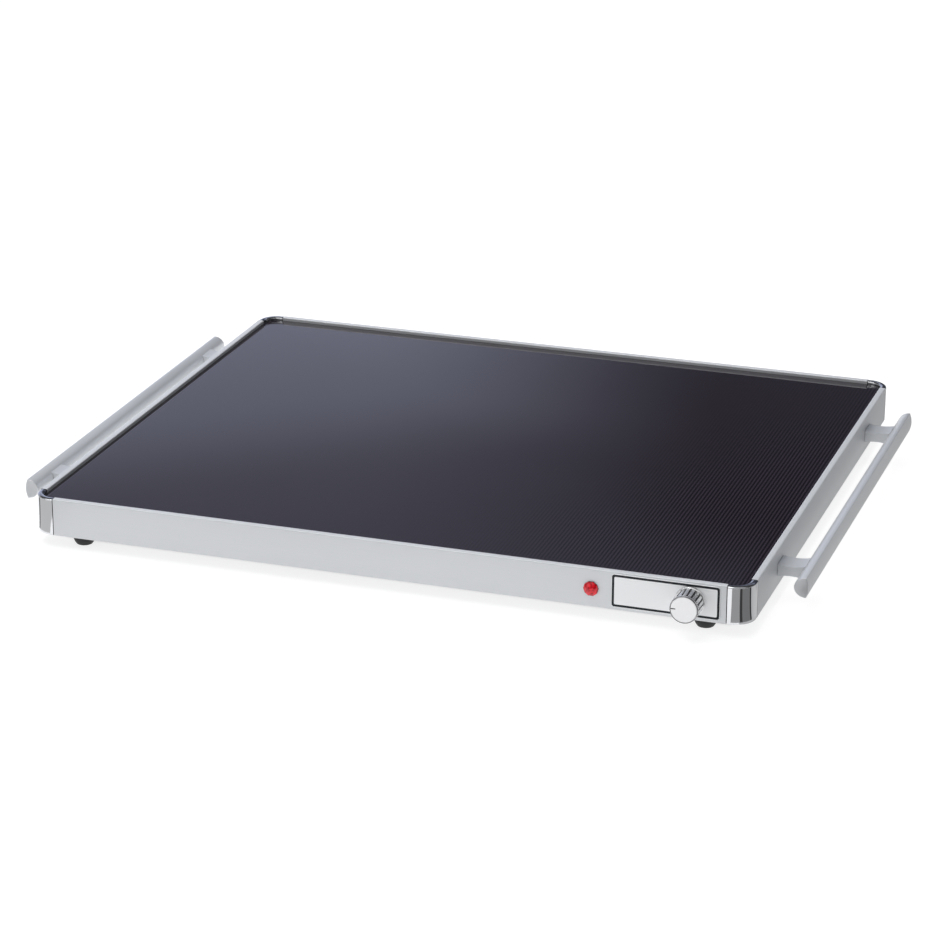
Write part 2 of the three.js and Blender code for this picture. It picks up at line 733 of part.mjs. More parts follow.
const inletSide = -inlet.x; // the rear side's x runs the other way
const inletBody = { halfX: 13.5, halfY: 9.8, depth: 22 };
const inletCavity = { halfX: 12.2, halfY: 8.2, chamfer: 4.5, depth: 15.6 };
const pin = { halfX: 1, halfY: 2, tip: -3, tabEnd: -32 }; // tip: behind the rear rail's outer face
const inletFixing = { head: 2.8, headDepth: 1.4, shank: 1.5, length: 8, holeDepth: 20 };

function inletHoles() {
  const { halfX, halfY } = inletBody;
  const opening = box(
    inletSide - halfX - clearance,
    inletSide + halfX + clearance,
    -1,
    frame.flange.reach + 1,
    inlet.z - halfY - 2 * clearance,
    inlet.z + halfY + clearance,
  );
  const screwHoles = [-1, 1].map((end) => {
    return wallHole(inletFixing.shank + clearance, inletSide + end * inlet.screwPitch, inlet.z);
  });
  return [opening, ...screwHoles];
}

// A countersunk screw that points inwards from the flange's face at z = face.
function inletScrewProfile(face, grow) {
  const head = inletFixing.head + grow;
  const shank = inletFixing.shank + grow;
  const tip = grow > 0 ? -inletFixing.holeDepth : -inletFixing.length;
  const headBack = face - inletFixing.headDepth - grow / 2;
  return [[0, tip], [shank, tip], [shank, headBack], [head, face - gap / 2], [head, face], [0, face]];
}

function inletPinBox(x, y, grow, tip, end) {
  const halfX = pin.halfX + grow;
  const halfY = pin.halfY + grow;
  return box(x - halfX, x + halfX, y - halfY, y + halfY, end, tip);
}

const pinPlaces = { live: [-inlet.pinPitch, -2], neutral: [inlet.pinPitch, -2], earth: [0, 2] };

function inletHousing() {
  const face = gap + inlet.flange;
  const flange = plate(roundedRectangle(inlet.width / 2, inlet.height / 2, 6), gap, face, 4);
  const { halfX, halfY, depth } = inletBody;
  const body = box(-halfX, halfX, -halfY, halfY, face - depth - inlet.flange, gap + 1);
  const c = inletCavity;
  const cavityOutline = polygon([
    [-c.halfX, -c.halfY],
    [c.halfX, -c.halfY],
    [c.halfX, c.halfY - c.chamfer],
    [c.halfX - c.chamfer, c.halfY],
    [-c.halfX + c.chamfer, c.halfY],
    [-c.halfX, c.halfY - c.chamfer],
  ]);
  const cavity = plate(cavityOutline, face - c.depth, face + 1);
  const pinHoles = Object.values(pinPlaces).map(([x, y]) => inletPinBox(x, y, gap / 2, 0, pin.tabEnd - 8));
  const screwHoles = [-1, 1].map((end) =>
    turnedRing([...inletScrewProfile(face, gap)].concat([[0, face + 1]]), 16).translate(
      end * inlet.screwPitch,
      0,
      0,
    ),
  );
  return cut(joined(flange, body), cavity, ...pinHoles, ...screwHoles);
}

function inletScrew() {
  const face = gap + inlet.flange;
  const solid = turnedRing(inletScrewProfile(face, 0), 16);
  return cut(solid, ...crossRecess(1.6, 0.35, face - 0.8, face + 1));
}

function addInlet() {
  const inletPlace = facingOut(rearSide, inletSide, inlet.z);
  place(inletPlace, "mains_inlet", inletHousing(), blackPlastic);
  for (const [name, [x, y]] of Object.entries(pinPlaces)) {
    const blade = inletPinBox(x, y, 0, pin.tip, pin.tabEnd);
    place(inletPlace, "inlet_" + name + "_pin", blade, brass);
  }
  for (const [name, end] of [["left", -1], ["right", 1]]) {
    place(inletPlace, "inlet_screw_" + name, inletScrew(), steel).position.x = end * inlet.screwPitch;
  }
}

// ---------------------------------------------------------------- control board, earth stud and wires

const terminals = { front: -196, rear: -187, left: 206, right: 246, top: 25.5 };
const terminalZ = 21.5;

// What stands on the board, each as x0, x1, y0, y1 and its top.
const boardComponents = {
  terminalStrip: [terminals.left, terminals.right, terminals.front, terminals.rear, terminals.top],
  powerSwitch: [212, 222, -222, -208, 25],
  choke: [232, 250, -226, -210, 24],
  lampConnector: [198, 206, -214, -202, 24],
  sensorConnector: [198, 205, -199, -191, 24],
};
const capacitor = { x: 226, y: -240, radius: 5, top: 25.5 };

function controlBoard() {
  const { left, right, front, rear, bottom, top } = board;
  const seat = top - 0.5;
  const blocks = Object.values(boardComponents).map(([x0, x1, y0, y1, height]) => {
    return box(x0, x1, y0, y1, seat, height);
  });
  const can = rod("z", capacitor.radius, seat, capacitor.top, capacitor.x, capacitor.y);
  return joined(box(left, right, front, rear, bottom, top), ...blocks, can);
}

const tray = { left: 198, right: 248, leg: 5, thickness: 1.8, length: 42 };

// A low table that stands on the pan and holds the board up.
function boardTray() {
  const foot = pan.top + gap;
  const top = board.bottom - gap;
  const under = top - tray.thickness;
  const outline = polygon([
    [tray.left, foot],
    [tray.left + tray.leg, foot],
    [tray.left + tray.leg, under],
    [tray.right - tray.leg, under],
    [tray.right - tray.leg, foot],
    [tray.right, foot],
    [tray.right, top],
    [tray.left, top],
  ]);
  const geometry = new THREE.ExtrudeGeometry(outline, { depth: tray.length, bevelEnabled: false });
  return geometry.rotateX(quarterTurn).translate(0, board.rear - 2, 0);
}

const earthStudPlace = { x: 228, y: 196 };
const earthStudSize = { washer: 5, washerTop: 1.2, nut: 4, nutTop: 4.4, stud: 2, studTop: 9 };

function earthStud() {
  const base = pan.top + gap;
  const { x, y } = earthStudPlace;
  const size = earthStudSize;
  const washer = rod("z", size.washer, base, base + size.washerTop, x, y, 16);
  const nut = rod("z", size.nut, base + 1, base + size.nutTop, x, y, 6);
  return joined(washer, nut, rod("z", size.stud, base + 1, base + size.studTop, x, y, 12));
}

// A smooth line sampled evenly between its points, not by length, so that short bends stay round.
class WireLine extends THREE.CatmullRomCurve3 {
  getPointAt(u, target) {
    return this.getPoint(u, target);
  }

  getTangentAt(u, target) {
    return this.getTangent(u, target);
  }
}

// A round wire on a smooth line through a few points.
function wire(points, radius = wireRadius) {
  const section = polygon([0, 1, 2, 3, 4, 5, 6, 7].map((corner) => {
    const angle = (corner / 2) * quarterTurn;
    return [radius * Math.cos(angle), radius * Math.sin(angle)];
  }));
  const extrudePath = new WireLine(points.map(([x, y, z]) => new THREE.Vector3(x, y, z)));
  const stepsPerStretch = 3;
  return new THREE.ExtrudeGeometry(section, { steps: stepsPerStretch * (points.length - 1), extrudePath });
}

// The sensor's metal probe lies under the backing sheet, and its thin lead runs to the board.
function temperatureSensor() {
  const { left, right, y, z, radius } = probe;
  const lead = [
    [right - 4, y, z],
    [right + 2, y, z - 0.8],
    [right + 5, y - 0.5, z - 5],
    [right + 12, y - 10, 22],
    [184, -190, 21],
    [192, -195, 21],
    [board.left + 1.7, -195, 21],
  ];
  return joined(rod("x", radius, left, right, y, z, 12), wire(lead, 0.9));
}

function addWiring() {
  const end = 0.3; // a wire stops this far from what it is joined to
  const terminalY = terminals.rear + end;
  const tabY = halfDepth + pin.tabEnd - end;
  const foilX = foilTerminal.x;
  const foilZ = foil.bottom - end;
  const tabX = cutout.halfLength + cutoutTab.length - 3;
  const tabZ = cutoutTab.bottom - end;
  const nearPan = 15.5;
  const { live, neutral, earth } = pinPlaces;
  const routes = [
    ["live_wire", brownWire, wireRadius, [
      [inlet.x - live[0], tabY, inlet.z + live[1]],
      [inlet.x - live[0] + 2, 205, 18],
      [240, 150, nearPan],
      [240, -60, nearPan],
      [234, -160, 18.5],
      [231, terminalY, terminalZ],
    ]],
    ["neutral_wire", blueWire, wireRadius, [
      [inlet.x - neutral[0], tabY, inlet.z + neutral[1]],
      [inlet.x - neutral[0] + 2, 200, 18],
      [210, 150, nearPan],
      [222, -60, nearPan],
      [223, -160, 18.5],
      [222.5, terminalY, terminalZ],
    ]],
    ["earth_wire", greenWire, wireRadius, [
      [inlet.x - earth[0], tabY, inlet.z + earth[1]],
      [inlet.x + 0.5, tabY - 4, inlet.z + earth[1] + 0.3],
      [inlet.x + 7, 213, 24.6],
      [212, 205, 24.2],
      [220, 198, 18],
      [earthStudPlace.x - 4.6, earthStudPlace.y, pan.top + 3.4],
    ]],
    ["heater_neutral_wire", blueWire, wireRadius, [
      [foilX, foilEndY, foilZ],
      [foilX, foilEndY, 23],
      [foilX - 2, foilEndY - 14, 16.5],
      [262, 120, nearPan],
      [256, -60, nearPan],
      [246, -160, 18.5],
      [241, terminalY, terminalZ],
    ]],
    ["cutout_wire", redWire, wireRadius, [
      [cutout.x - tabX, cutout.y, tabZ],
      [cutout.x - tabX, cutout.y, tabZ - 4],
      [210, -145, 20],
      [214, -170, 20.5],
      [214, terminalY, terminalZ],
    ]],
    ["heater_live_wire", redWire, wireRadius, [
      [cutout.x + tabX, cutout.y, tabZ],
      [cutout.x + tabX, cutout.y, tabZ - 4],
      [256, cutout.y - 30, 20],
      [268, -200, 20],
      [foilX, -foilEndY, 27],
      [foilX, -foilEndY, foilZ],
    ]],
    ["lamp_lead", whiteNylon, 1.5, [
      [lamp.x, -halfDepth + lamp.bodyLength + end, lamp.z],
      [lamp.x + 1, -224, 23],
      [184, -211, 21],
      [192, -208, 21],
      [board.left + 1.6, -208, 21],
    ]],
  ];
  for (const [name, material, radius, points] of routes) place(heater, name, wire(points, radius), material);
}

// ---------------------------------------------------------------- assembly

addFrame();
place(heater, "glass_plate", glassPlate(), darkGlass);
place(heater, "glass_seal", glassSeal(), blackRubber);
place(heater, "heating_foil", heatingFoil(), foilMetal);
place(heater, "heater_backing_sheet", backingSheet(), paleMica);
place(heater, "insulation_blanket", insulationBlanket(), whiteFibre);
place(heater, "thermal_cutout", thermalCutout(), blackPlastic);
place(heater, "base_pan", basePan(), steel);
addFeet();
addHandle(rightSide, "right", ["front", "rear"]);
addHandle(leftSide, "left", ["rear", "front"]);
addControl();
addLamp();
addInlet();
place(heater, "control_board", controlBoard(), boardGreen);
place(heater, "board_tray", boardTray(), whiteNylon);
place(heater, "earth_stud", earthStud(), brass);
place(heater, "temperature_sensor", temperatureSensor(), steel);
addWiring();

const root = new THREE.Group();
root.add(heater);

export default root;
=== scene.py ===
import json
import math

import bmesh
import bpy
from mathutils import Matrix, Vector


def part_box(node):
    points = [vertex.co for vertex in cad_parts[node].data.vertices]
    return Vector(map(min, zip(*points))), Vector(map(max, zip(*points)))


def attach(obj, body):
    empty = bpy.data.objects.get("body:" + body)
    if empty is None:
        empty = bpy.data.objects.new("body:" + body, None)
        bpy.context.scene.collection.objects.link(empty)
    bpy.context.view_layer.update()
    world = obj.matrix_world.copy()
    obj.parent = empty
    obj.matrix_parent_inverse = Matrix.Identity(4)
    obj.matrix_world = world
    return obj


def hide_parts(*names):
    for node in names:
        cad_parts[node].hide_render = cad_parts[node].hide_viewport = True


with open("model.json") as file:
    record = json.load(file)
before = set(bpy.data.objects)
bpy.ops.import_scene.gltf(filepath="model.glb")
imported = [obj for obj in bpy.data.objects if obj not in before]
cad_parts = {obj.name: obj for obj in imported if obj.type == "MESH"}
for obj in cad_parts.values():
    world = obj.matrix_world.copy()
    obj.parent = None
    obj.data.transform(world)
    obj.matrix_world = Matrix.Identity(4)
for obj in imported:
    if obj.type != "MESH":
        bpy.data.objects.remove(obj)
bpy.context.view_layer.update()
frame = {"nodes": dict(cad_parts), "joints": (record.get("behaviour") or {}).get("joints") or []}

MM = 0.001
QUARTER = math.pi / 2
scene = bpy.context.scene


# ------------------------------------------------------------------ sizes read from the frame

def low(node):
    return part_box(node)[0]


def high(node):
    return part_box(node)[1]


def middle(node):
    return (low(node) + high(node)) / 2


HALF_WIDTH = high("corner_front_right").x
FRONT_FACE = low("corner_front_right").y
REAR_FACE = high("corner_rear_right").y
CENTRE_Y = (FRONT_FACE + REAR_FACE) / 2
HALF_DEPTH = (REAR_FACE - FRONT_FACE) / 2
FRAME_BOTTOM = low("front_rail").z
FRAME_TOP = high("front_rail").z
WALL = 2 * MM
LAND = 5.5 * MM
CORNER_RADIUS = 17 * MM
LEDGE_REACH = 14 * MM
FLANGE_REACH = high("front_rail").y - FRONT_FACE
LEDGE_LEVELS = (31.7 * MM, 33.2 * MM)
FLANGE_LEVELS = (11.2 * MM, 12.7 * MM)
KNOB_CENTRE = Vector(frame["joints"][0]["pos_m"])
SCREW_HOLE = 2.3 * MM
BUSH_HOLE = 4.8 * MM
LAMP_HOLE = 5.0 * MM
INLET_SCREW_HOLE = 1.8 * MM
INLET_CUTOUT = (13.8 * MM, 10.25 * MM)
SEAM = 0.32 * MM
INLET_SCREW_X = 20 * MM
BAR_Z = middle("handle_bar_right").z
BRACKET_X = middle("handle_bracket_rear_right").y - CENTRE_Y
BAR_OUTER = high("handle_bar_right").x - HALF_WIDTH
BAR_INNER = low("handle_bar_right").x - HALF_WIDTH
BAR_HALF_HEIGHT = (high("handle_bar_right").z - low("handle_bar_right").z) / 2
BAR_HALF_LENGTH = (high("handle_bar_right").y - low("handle_bar_right").y) / 2
GLASS_TOP = high("glass_plate").z
GLASS_BOTTOM = low("glass_plate").z
GLASS_INSET = HALF_WIDTH - high("glass_plate").x


# ------------------------------------------------------------------ camera

def add_camera():
    """The camera stands in front and to the right of the heater and looks down at it."""
    azimuth = math.radians(18.44)
    elevation = math.radians(20.54)
    roll = math.radians(0.225)
    aim = Vector((-5.9 * MM, -4.0 * MM, 14 * MM))
    distance = 2.791
    away = Vector((
        math.sin(azimuth) * math.cos(elevation),
        -math.cos(azimuth) * math.cos(elevation),
        math.sin(elevation),
    ))
    data = bpy.data.cameras.new("camera")
    data.sensor_width = 36
    data.lens = 125.52
    data.clip_start = 0.05
    data.clip_end = 60
    camera = bpy.data.objects.new("camera", data)
    scene.collection.objects.link(camera)
    turn = (-away).to_track_quat("-Z", "Y").to_matrix() @ Matrix.Rotation(roll, 3, "Z")
    camera.matrix_world = Matrix.Translation(aim + distance * away) @ turn.to_4x4()
    scene.camera = camera


# ------------------------------------------------------------------ materials

class Nodes:
    """A material's node tree, with one Principled shader."""

    def __init__(self, name, color, roughness, metallic=0.0, **sockets):
        self.material = bpy.data.materials.new(name)
        self.material.use_nodes = True
        self.tree = self.material.node_tree
        self.shader = self.tree.nodes["Principled BSDF"]
        self.set("Base Color", (*color, 1))
        self.set("Roughness", roughness)
        self.set("Metallic", metallic)
        for socket, value in sockets.items():
            self.set(socket.replace("_", " "), value)

    def set(self, socket, value):
        self.shader.inputs[socket].default_value = value

    def node(self, kind, **settings):
        made = self.tree.nodes.new("ShaderNode" + kind)
        for key, value in settings.items():
            if hasattr(made, key):
                setattr(made, key, value)
            else:
                made.inputs[key].default_value = value
        return made

    def link(self, source, target):
        self.tree.links.new(source, target)

    def places(self, stretch=(1, 1, 1)):
        """Object coordinates in metres, stretched by a factor on each axis."""
        coordinates = self.node("TexCoord")
        mapping = self.node("Mapping")
        mapping.inputs["Scale"].default_value = stretch
        self.link(coordinates.outputs["Object"], mapping.inputs["Vector"])
        return mapping.outputs["Vector"]

    def noise(self, scale, stretch=(1, 1, 1), detail=3.0, roughness=0.5):
        texture = self.node("TexNoise", Scale=scale, Detail=detail, Roughness=roughness)
        self.link(self.places(stretch), texture.inputs["Vector"])
        return texture.outputs["Fac"]

    def spread(self, value, start, end, low_value=0.3, high_value=0.7):
        """Maps a noise's middle range to start..end."""
        ranged = self.node("MapRange")
        ranged.inputs["From Min"].default_value = low_value
        ranged.inputs["From Max"].default_value = high_value
        ranged.inputs["To Min"].default_value = start
        ranged.inputs["To Max"].default_value = end
        self.link(value, ranged.inputs["Value"])
        return ranged.outputs["Result"]

    def mixed(self, factor, first, second):
        mix = self.node("Mix", data_type="RGBA")
        for index, color in ((6, first), (7, second)):
            if isinstance(color, tuple):
                mix.inputs[index].default_value = (*color, 1)
            else:
                self.link(color, mix.inputs[index])
        self.link(factor, mix.inputs[0])
        return mix.outputs[2]

    def math(self, operation, first, second=None):
        made = self.node("Math", operation=operation)
        for index, value in enumerate((first, second)):
            if value is None:
                continue
            if isinstance(value, (int, float)):
                made.inputs[index].default_value = value
            else:
                self.link(value, made.inputs[index])
        return made.outputs[0]

    def color_from(self, output):
        self.link(output, self.shader.inputs["Base Color"])

    def roughness_from(self, output):
        self.link(output, self.shader.inputs["Roughness"])

    def bump_from(self, height, strength, distance):
        bump = self.node("Bump", Strength=strength, Distance=distance)
        self.link(height, bump.inputs["Height"])
        self.link(bump.outputs["Normal"], self.shader.inputs["Normal"])


def shade(color, factor):
    return tuple(min(1.0, channel * factor) for channel in color)


def satin_metal(name, color, roughness, grain, metallic=0.85, contrast=0.05, bump=0.05):
    """Anodised or plated metal with a fine drawn grain; grain gives its frequency on each axis."""
    nodes = Nodes(name, color, roughness, metallic)
    lines = nodes.noise(1.0, grain, detail=2.0)
    clouds = nodes.noise(9.0, detail=4.0)
    tone = nodes.math("ADD", nodes.math("MULTIPLY", lines, 0.6), nodes.math("MULTIPLY", clouds, 0.4))
    nodes.color_from(nodes.mixed(
        nodes.spread(tone, 0, 1, 0.38, 0.62), shade(color, 1 - contrast), shade(color, 1 + contrast)))
    nodes.roughness_from(nodes.spread(tone, roughness - 0.04, roughness + 0.04))
    nodes.bump_from(lines, bump, 0.02 * MM)
    return nodes.material


def polished_chrome():
    color = (0.76, 0.77, 0.79)
    nodes = Nodes("chrome", color, 0.05, 1.0)
    smears = nodes.noise(60.0, detail=5.0)
    nodes.roughness_from(nodes.spread(smears, 0.035, 0.085))
    nodes.color_from(nodes.mixed(nodes.spread(smears, 0, 1), shade(color, 0.97), color))
    return nodes.material


def lined_glass():
    """Dark gloss glass with fine lines printed from front to back."""
    nodes = Nodes("dark_glass", (0.02, 0.016, 0.02), 0.04, 0.0, IOR=1.52)
    coordinates = nodes.node("TexCoord")
    split = nodes.node("SeparateXYZ")
    nodes.link(coordinates.outputs["Object"], split.inputs[0])
    pitch = 3 * MM
    turns = nodes.math("MULTIPLY", split.outputs["X"], 2 * math.pi / pitch)
    wave = nodes.math("SINE", turns)
    stripe = nodes.spread(wave, 0, 1, -0.6, 0.6)
    nodes.color_from(nodes.mixed(stripe, (0.0040, 0.0026, 0.0042), (0.0300, 0.0225, 0.0310)))
    haze = nodes.noise(14.0, detail=5.0)
    nodes.roughness_from(nodes.spread(haze, 0.03, 0.075))
    return nodes.material


def moulded(name, color, roughness, grain=900.0, bump=0.12, **sockets):
    """Moulded plastic or rubber with a fine stipple."""
    nodes = Nodes(name, color, roughness, 0.0, **sockets)
    stipple = nodes.noise(grain, detail=3.0)
    clouds = nodes.noise(40.0, detail=3.0)
    nodes.color_from(nodes.mixed(nodes.spread(clouds, 0, 1), shade(color, 0.86), shade(color, 1.12)))
    nodes.roughness_from(nodes.spread(stipple, roughness - 0.07, roughness + 0.07))
    nodes.bump_from(stipple, bump, 0.05 * MM)
    return nodes.material


def red_jewel():
    nodes = Nodes("red_lens", (0.55, 0.006, 0.015), 0.08, 0.0, IOR=1.45)
    nodes.set("Coat Weight", 0.25)
    nodes.set("Coat Roughness", 0.03)
    nodes.set("Emission Color", (0.9, 0.01, 0.02, 1))
    nodes.set("Emission Strength", 0.10)
    depth = nodes.noise(420.0, detail=1.0)
    share = nodes.spread(depth, 0, 1, 0.4, 0.6)
    nodes.color_from(nodes.mixed(share, (0.30, 0.001, 0.006), (0.78, 0.012, 0.025)))
    return nodes.material


def fibre_mat():
    nodes = Nodes("insulation", (0.86, 0.85, 0.81), 0.95)
    fibres = nodes.noise(700.0, (1, 0.25, 1), detail=6.0, roughness=0.7)
    nodes.color_from(nodes.mixed(nodes.spread(fibres, 0, 1), (0.70, 0.69, 0.64), (0.90, 0.89, 0.86)))
    nodes.bump_from(fibres, 0.6, 0.3 * MM)
    return nodes.material


def mica_sheet():
    nodes = Nodes("mica", (0.55, 0.46, 0.30), 0.45)
    flakes = nodes.node("TexVoronoi", Scale=260.0)
    nodes.link(nodes.places(), flakes.inputs["Vector"])
    nodes.color_from(nodes.mixed(
        nodes.spread(flakes.outputs["Distance"], 0, 1, 0.1, 0.8), (0.50, 0.41, 0.26), (0.66, 0.57, 0.40)))
    nodes.roughness_from(nodes.spread(flakes.outputs["Distance"], 0.35, 0.6, 0.1, 0.8))
    return nodes.material


GRAIN_ALONG_X = (40, 5200, 5200)
GRAIN_ALONG_Y = (5200, 40, 5200)
FINE_GRAIN = (3000, 3000, 3000)
ALUMINIUM = (0.685, 0.70, 0.72)

aluminium_x = satin_metal("frame_aluminium_x", ALUMINIUM, 0.42, GRAIN_ALONG_X, 0.32, 0.02)
aluminium_y = satin_metal("frame_aluminium_y", ALUMINIUM, 0.42, GRAIN_ALONG_Y, 0.32, 0.02)
handle_metal = satin_metal("handle_aluminium", shade(ALUMINIUM, 1.06), 0.36, GRAIN_ALONG_Y, 0.55, 0.02)
chrome = polished_chrome()
dark_glass = lined_glass()
rubber = moulded("black_rubber", (0.012, 0.012, 0.014), 0.6)
black_plastic = moulded("black_plastic", (0.018, 0.018, 0.020), 0.42)
silver_panel = satin_metal("silver_panel", (0.97, 0.98, 1.0), 0.4, FINE_GRAIN, 0.0, 0.01)
navy_print = moulded("panel_print", (0.004, 0.007, 0.011), 0.7)
knob_chrome = satin_metal("knob_chrome", (0.86, 0.865, 0.87), 0.24, FINE_GRAIN, 0.8, 0.02)
knob_face = satin_metal("knob_face", (0.90, 0.90, 0.91), 0.36, (9000, 300, 300), 0.4, 0.03)
# A darker copy of the knob's metal for the cap's front rim: painted shade that makes the rim read as a dark
# edge ring.
knob_edge_shade = satin_metal("knob_edge_shade", (0.26, 0.26, 0.27), 0.22, FINE_GRAIN, 1.0, 0.02)
# Near-black red painted shade for the pilot lens's side band.
shaded_lamp_band = moulded("lens_side_shade", (0.06, 0.002, 0.004), 0.3)
# Near-black painted shade, laid on the seam end faces, the knob's rib grooves, the neck behind its cap and
# the pointer groove.
shadow_paint = moulded("seam_and_groove_shade", (0.018, 0.018, 0.020), 0.5)
red_lens = red_jewel()
pan_steel = satin_metal("pan_steel", (0.42, 0.425, 0.435), 0.38, (400, 400, 400), 0.9, 0.08)
screw_steel = satin_metal("screw_steel", (0.50, 0.505, 0.51), 0.28, FINE_GRAIN, 1.0)
brass = satin_metal("brass", (0.66, 0.46, 0.17), 0.25, FINE_GRAIN, 1.0)
foil_metal = satin_metal("heating_foil", (0.42, 0.26, 0.13), 0.3, GRAIN_ALONG_X, 0.9)
insulation = fibre_mat()
mica = mica_sheet()
board_green = moulded("circuit_board", (0.02, 0.14, 0.07), 0.35)
nylon = moulded("white_nylon", (0.72, 0.70, 0.64), 0.5)
brown = moulded("brown_wire", (0.15, 0.055, 0.025), 0.4)
blue = moulded("blue_wire", (0.025, 0.09, 0.38), 0.4)
green = moulded("green_wire", (0.16, 0.40, 0.035), 0.4)
red = moulded("red_wire", (0.38, 0.025, 0.018), 0.4)


# ------------------------------------------------------------------ mesh helpers

def add_piece(name, mesh, material, body, slot, *replaced):
    piece = bpy.data.objects.new(name, mesh)
    scene.collection.objects.link(piece)
    if material is not None:
        mesh.materials.clear()
        mesh.materials.append(material)
    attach(piece, body)
    if replaced:
        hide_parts(*replaced)
    return piece


def closed_mesh(made):
    """The mesh of a finished bmesh, with its faces pointing out."""
    bmesh.ops.recalc_face_normals(made, faces=made.faces)
    mesh = bpy.data.meshes.new("mesh")
    made.to_mesh(mesh)
    made.free()
    return mesh


def loft(rings, closed=False):
    """A closed mesh through rings of equal length; its ends are capped unless it closes on itself."""
    made = bmesh.new()
    rows = [[made.verts.new(point) for point in ring] for ring in rings]
    count = len(rows[0])
    pairs = list(zip(rows, rows[1:]))
    if closed:
        pairs.append((rows[-1], rows[0]))
    else:
        made.faces.new(rows[0])
        made.faces.new(rows[-1])
    for first, second in pairs:
        for i in range(count):
            j = (i + 1) % count
            made.faces.new((first[i], first[j], second[j], second[i]))
    return closed_mesh(made)


def turned(profile, sides=64, reach=None):
    """A solid of revolution on +z from (radius, height) pairs; a pair with no radius is a point.
    reach(angle, radius, height) may change a ring's radius round the axis."""
    made = bmesh.new()
    rows = []
    for radius, height in profile:
        if radius == 0:
            rows.append([made.verts.new((0, 0, height))])
            continue
        row = []
        for i in range(sides):
            angle = 2 * math.pi * i / sides
            out = reach(angle, radius, height) if reach else radius
            row.append(made.verts.new((out * math.cos(angle), out * math.sin(angle), height)))
        rows.append(row)
    pairs = list(zip(rows, rows[1:]))
    if len(rows[0]) > 1 and len(rows[-1]) > 1:
        pairs.append((rows[-1], rows[0]))
    for first, second in pairs:
        for i in range(sides):
            j = (i + 1) % sides
            if len(first) == 1:
                made.faces.new((first[0], second[i], second[j]))
            elif len(second) == 1:
                made.faces.new((first[i], first[j], second[0]))
            else:
                made.faces.new((first[i], first[j], second[j], second[i]))
    return closed_mesh(made)


def rounded_outline(half_x, half_y, radius, steps=12):
    """Points round a rectangle with rounded corners, from above, starting at the rear right."""
    points = []
    for turn, (sign_x, sign_y) in enumerate(((1, 1), (-1, 1), (-1, -1), (1, -1))):
        for step in range(steps + 1):
            angle = (turn + step / steps) * QUARTER
            points.append((
                sign_x * (half_x - radius) + radius * math.cos(angle),
                sign_y * (half_y - radius) + radius * math.sin(angle),
            ))
    return points


def stacked(levels, half_x, half_y, radius, centre=(0, 0), steps=12):
    """Rings of a rounded rectangle, from (inset, height) pairs."""
    rings = []
    for inset, z in levels:
        outline = rounded_outline(half_x - inset, half_y - inset, max(radius - inset, 0.05 * MM), steps)
        rings.append([(centre[0] + x, centre[1] + y, z) for x, y in outline])
    return rings


def arc(centre_a, centre_b, radius_a, radius_b, start, end, steps):
    """Points on an ellipse's arc, angles in quarter turns."""
    points = []
    for step in range(steps + 1):
        angle = (start + (end - start) * step / steps) * QUARTER
        points.append((centre_a + radius_a * math.cos(angle), centre_b + radius_b * math.sin(angle)))
    return points


def frozen(piece):
    """Applies a piece's modifiers to its mesh."""
    bpy.context.view_layer.update()
    graph = bpy.context.evaluated_depsgraph_get()
    mesh = bpy.data.meshes.new_from_object(piece.evaluated_get(graph))
    piece.modifiers.clear()
    piece.data = mesh


def combine(piece, operation, meshes):
    """Cuts closed meshes from a piece, or joins them to it."""
    for mesh in meshes:
        tool = bpy.data.objects.new("tool", mesh)
        scene.collection.objects.link(tool)
        change = piece.modifiers.new("change", "BOOLEAN")
        change.operation = operation
        change.solver = "EXACT"
        change.object = tool
        change.material_mode = "TRANSFER"
        frozen(piece)
        bpy.data.objects.remove(tool)


def cylinder(radius, start, end, place=Matrix.Identity(4), sides=32):
    mesh = turned([(0, start), (radius, start), (radius, end), (0, end)], sides)
    mesh.transform(place)
    return mesh


def block(lowest, highest, place=Matrix.Identity(4)):
    (x0, y0, z0), (x1, y1, z1) = lowest, highest
    ring = ((x0, y0), (x1, y0), (x1, y1), (x0, y1))
    mesh = loft([[(x, y, z) for x, y in ring] for z in (z0, z1)])
    mesh.transform(place)
    return mesh


def softened(piece, width, segments=3, angle=30):
    """Rounds a piece's sharp edges, and shades the result smooth."""
    bevel = piece.modifiers.new("edges", "BEVEL")
    bevel.width = width
    bevel.segments = segments
    bevel.limit_method = "ANGLE"
    bevel.angle_limit = math.radians(angle)
    bevel.use_clamp_overlap = True
    smooth(piece, angle)
    weights = piece.modifiers.new("normals", "WEIGHTED_NORMAL")
    weights.keep_sharp = False
    return piece


def smooth(piece, angle=30):
    piece.data.shade_smooth()
    if "edges" not in piece.modifiers:
        piece.data.set_sharp_from_angle(angle=math.radians(angle))
    return piece


# ------------------------------------------------------------------ places on the frame's sides

SIDE_TURNS = {"front": 0, "right": 1, "rear": 2, "left": 3}


def on_side(side):
    """A side's own place: x runs along it, y = 0 is its outer face and -y points out of it."""
    turns = SIDE_TURNS[side]
    reach = HALF_WIDTH if turns % 2 else HALF_DEPTH
    centre = Matrix.Translation((0, CENTRE_Y, 0))
    return centre @ Matrix.Rotation(turns * QUARTER, 4, "Z") @ Matrix.Translation((0, -reach, 0))


def facing_out(side, x, z):
    """A place on a side where +z points straight out of it and +y points up."""
    return on_side(side) @ Matrix.Translation((x, 0, z)) @ Matrix.Rotation(QUARTER, 4, "X")


# ------------------------------------------------------------------ rails and corner pieces

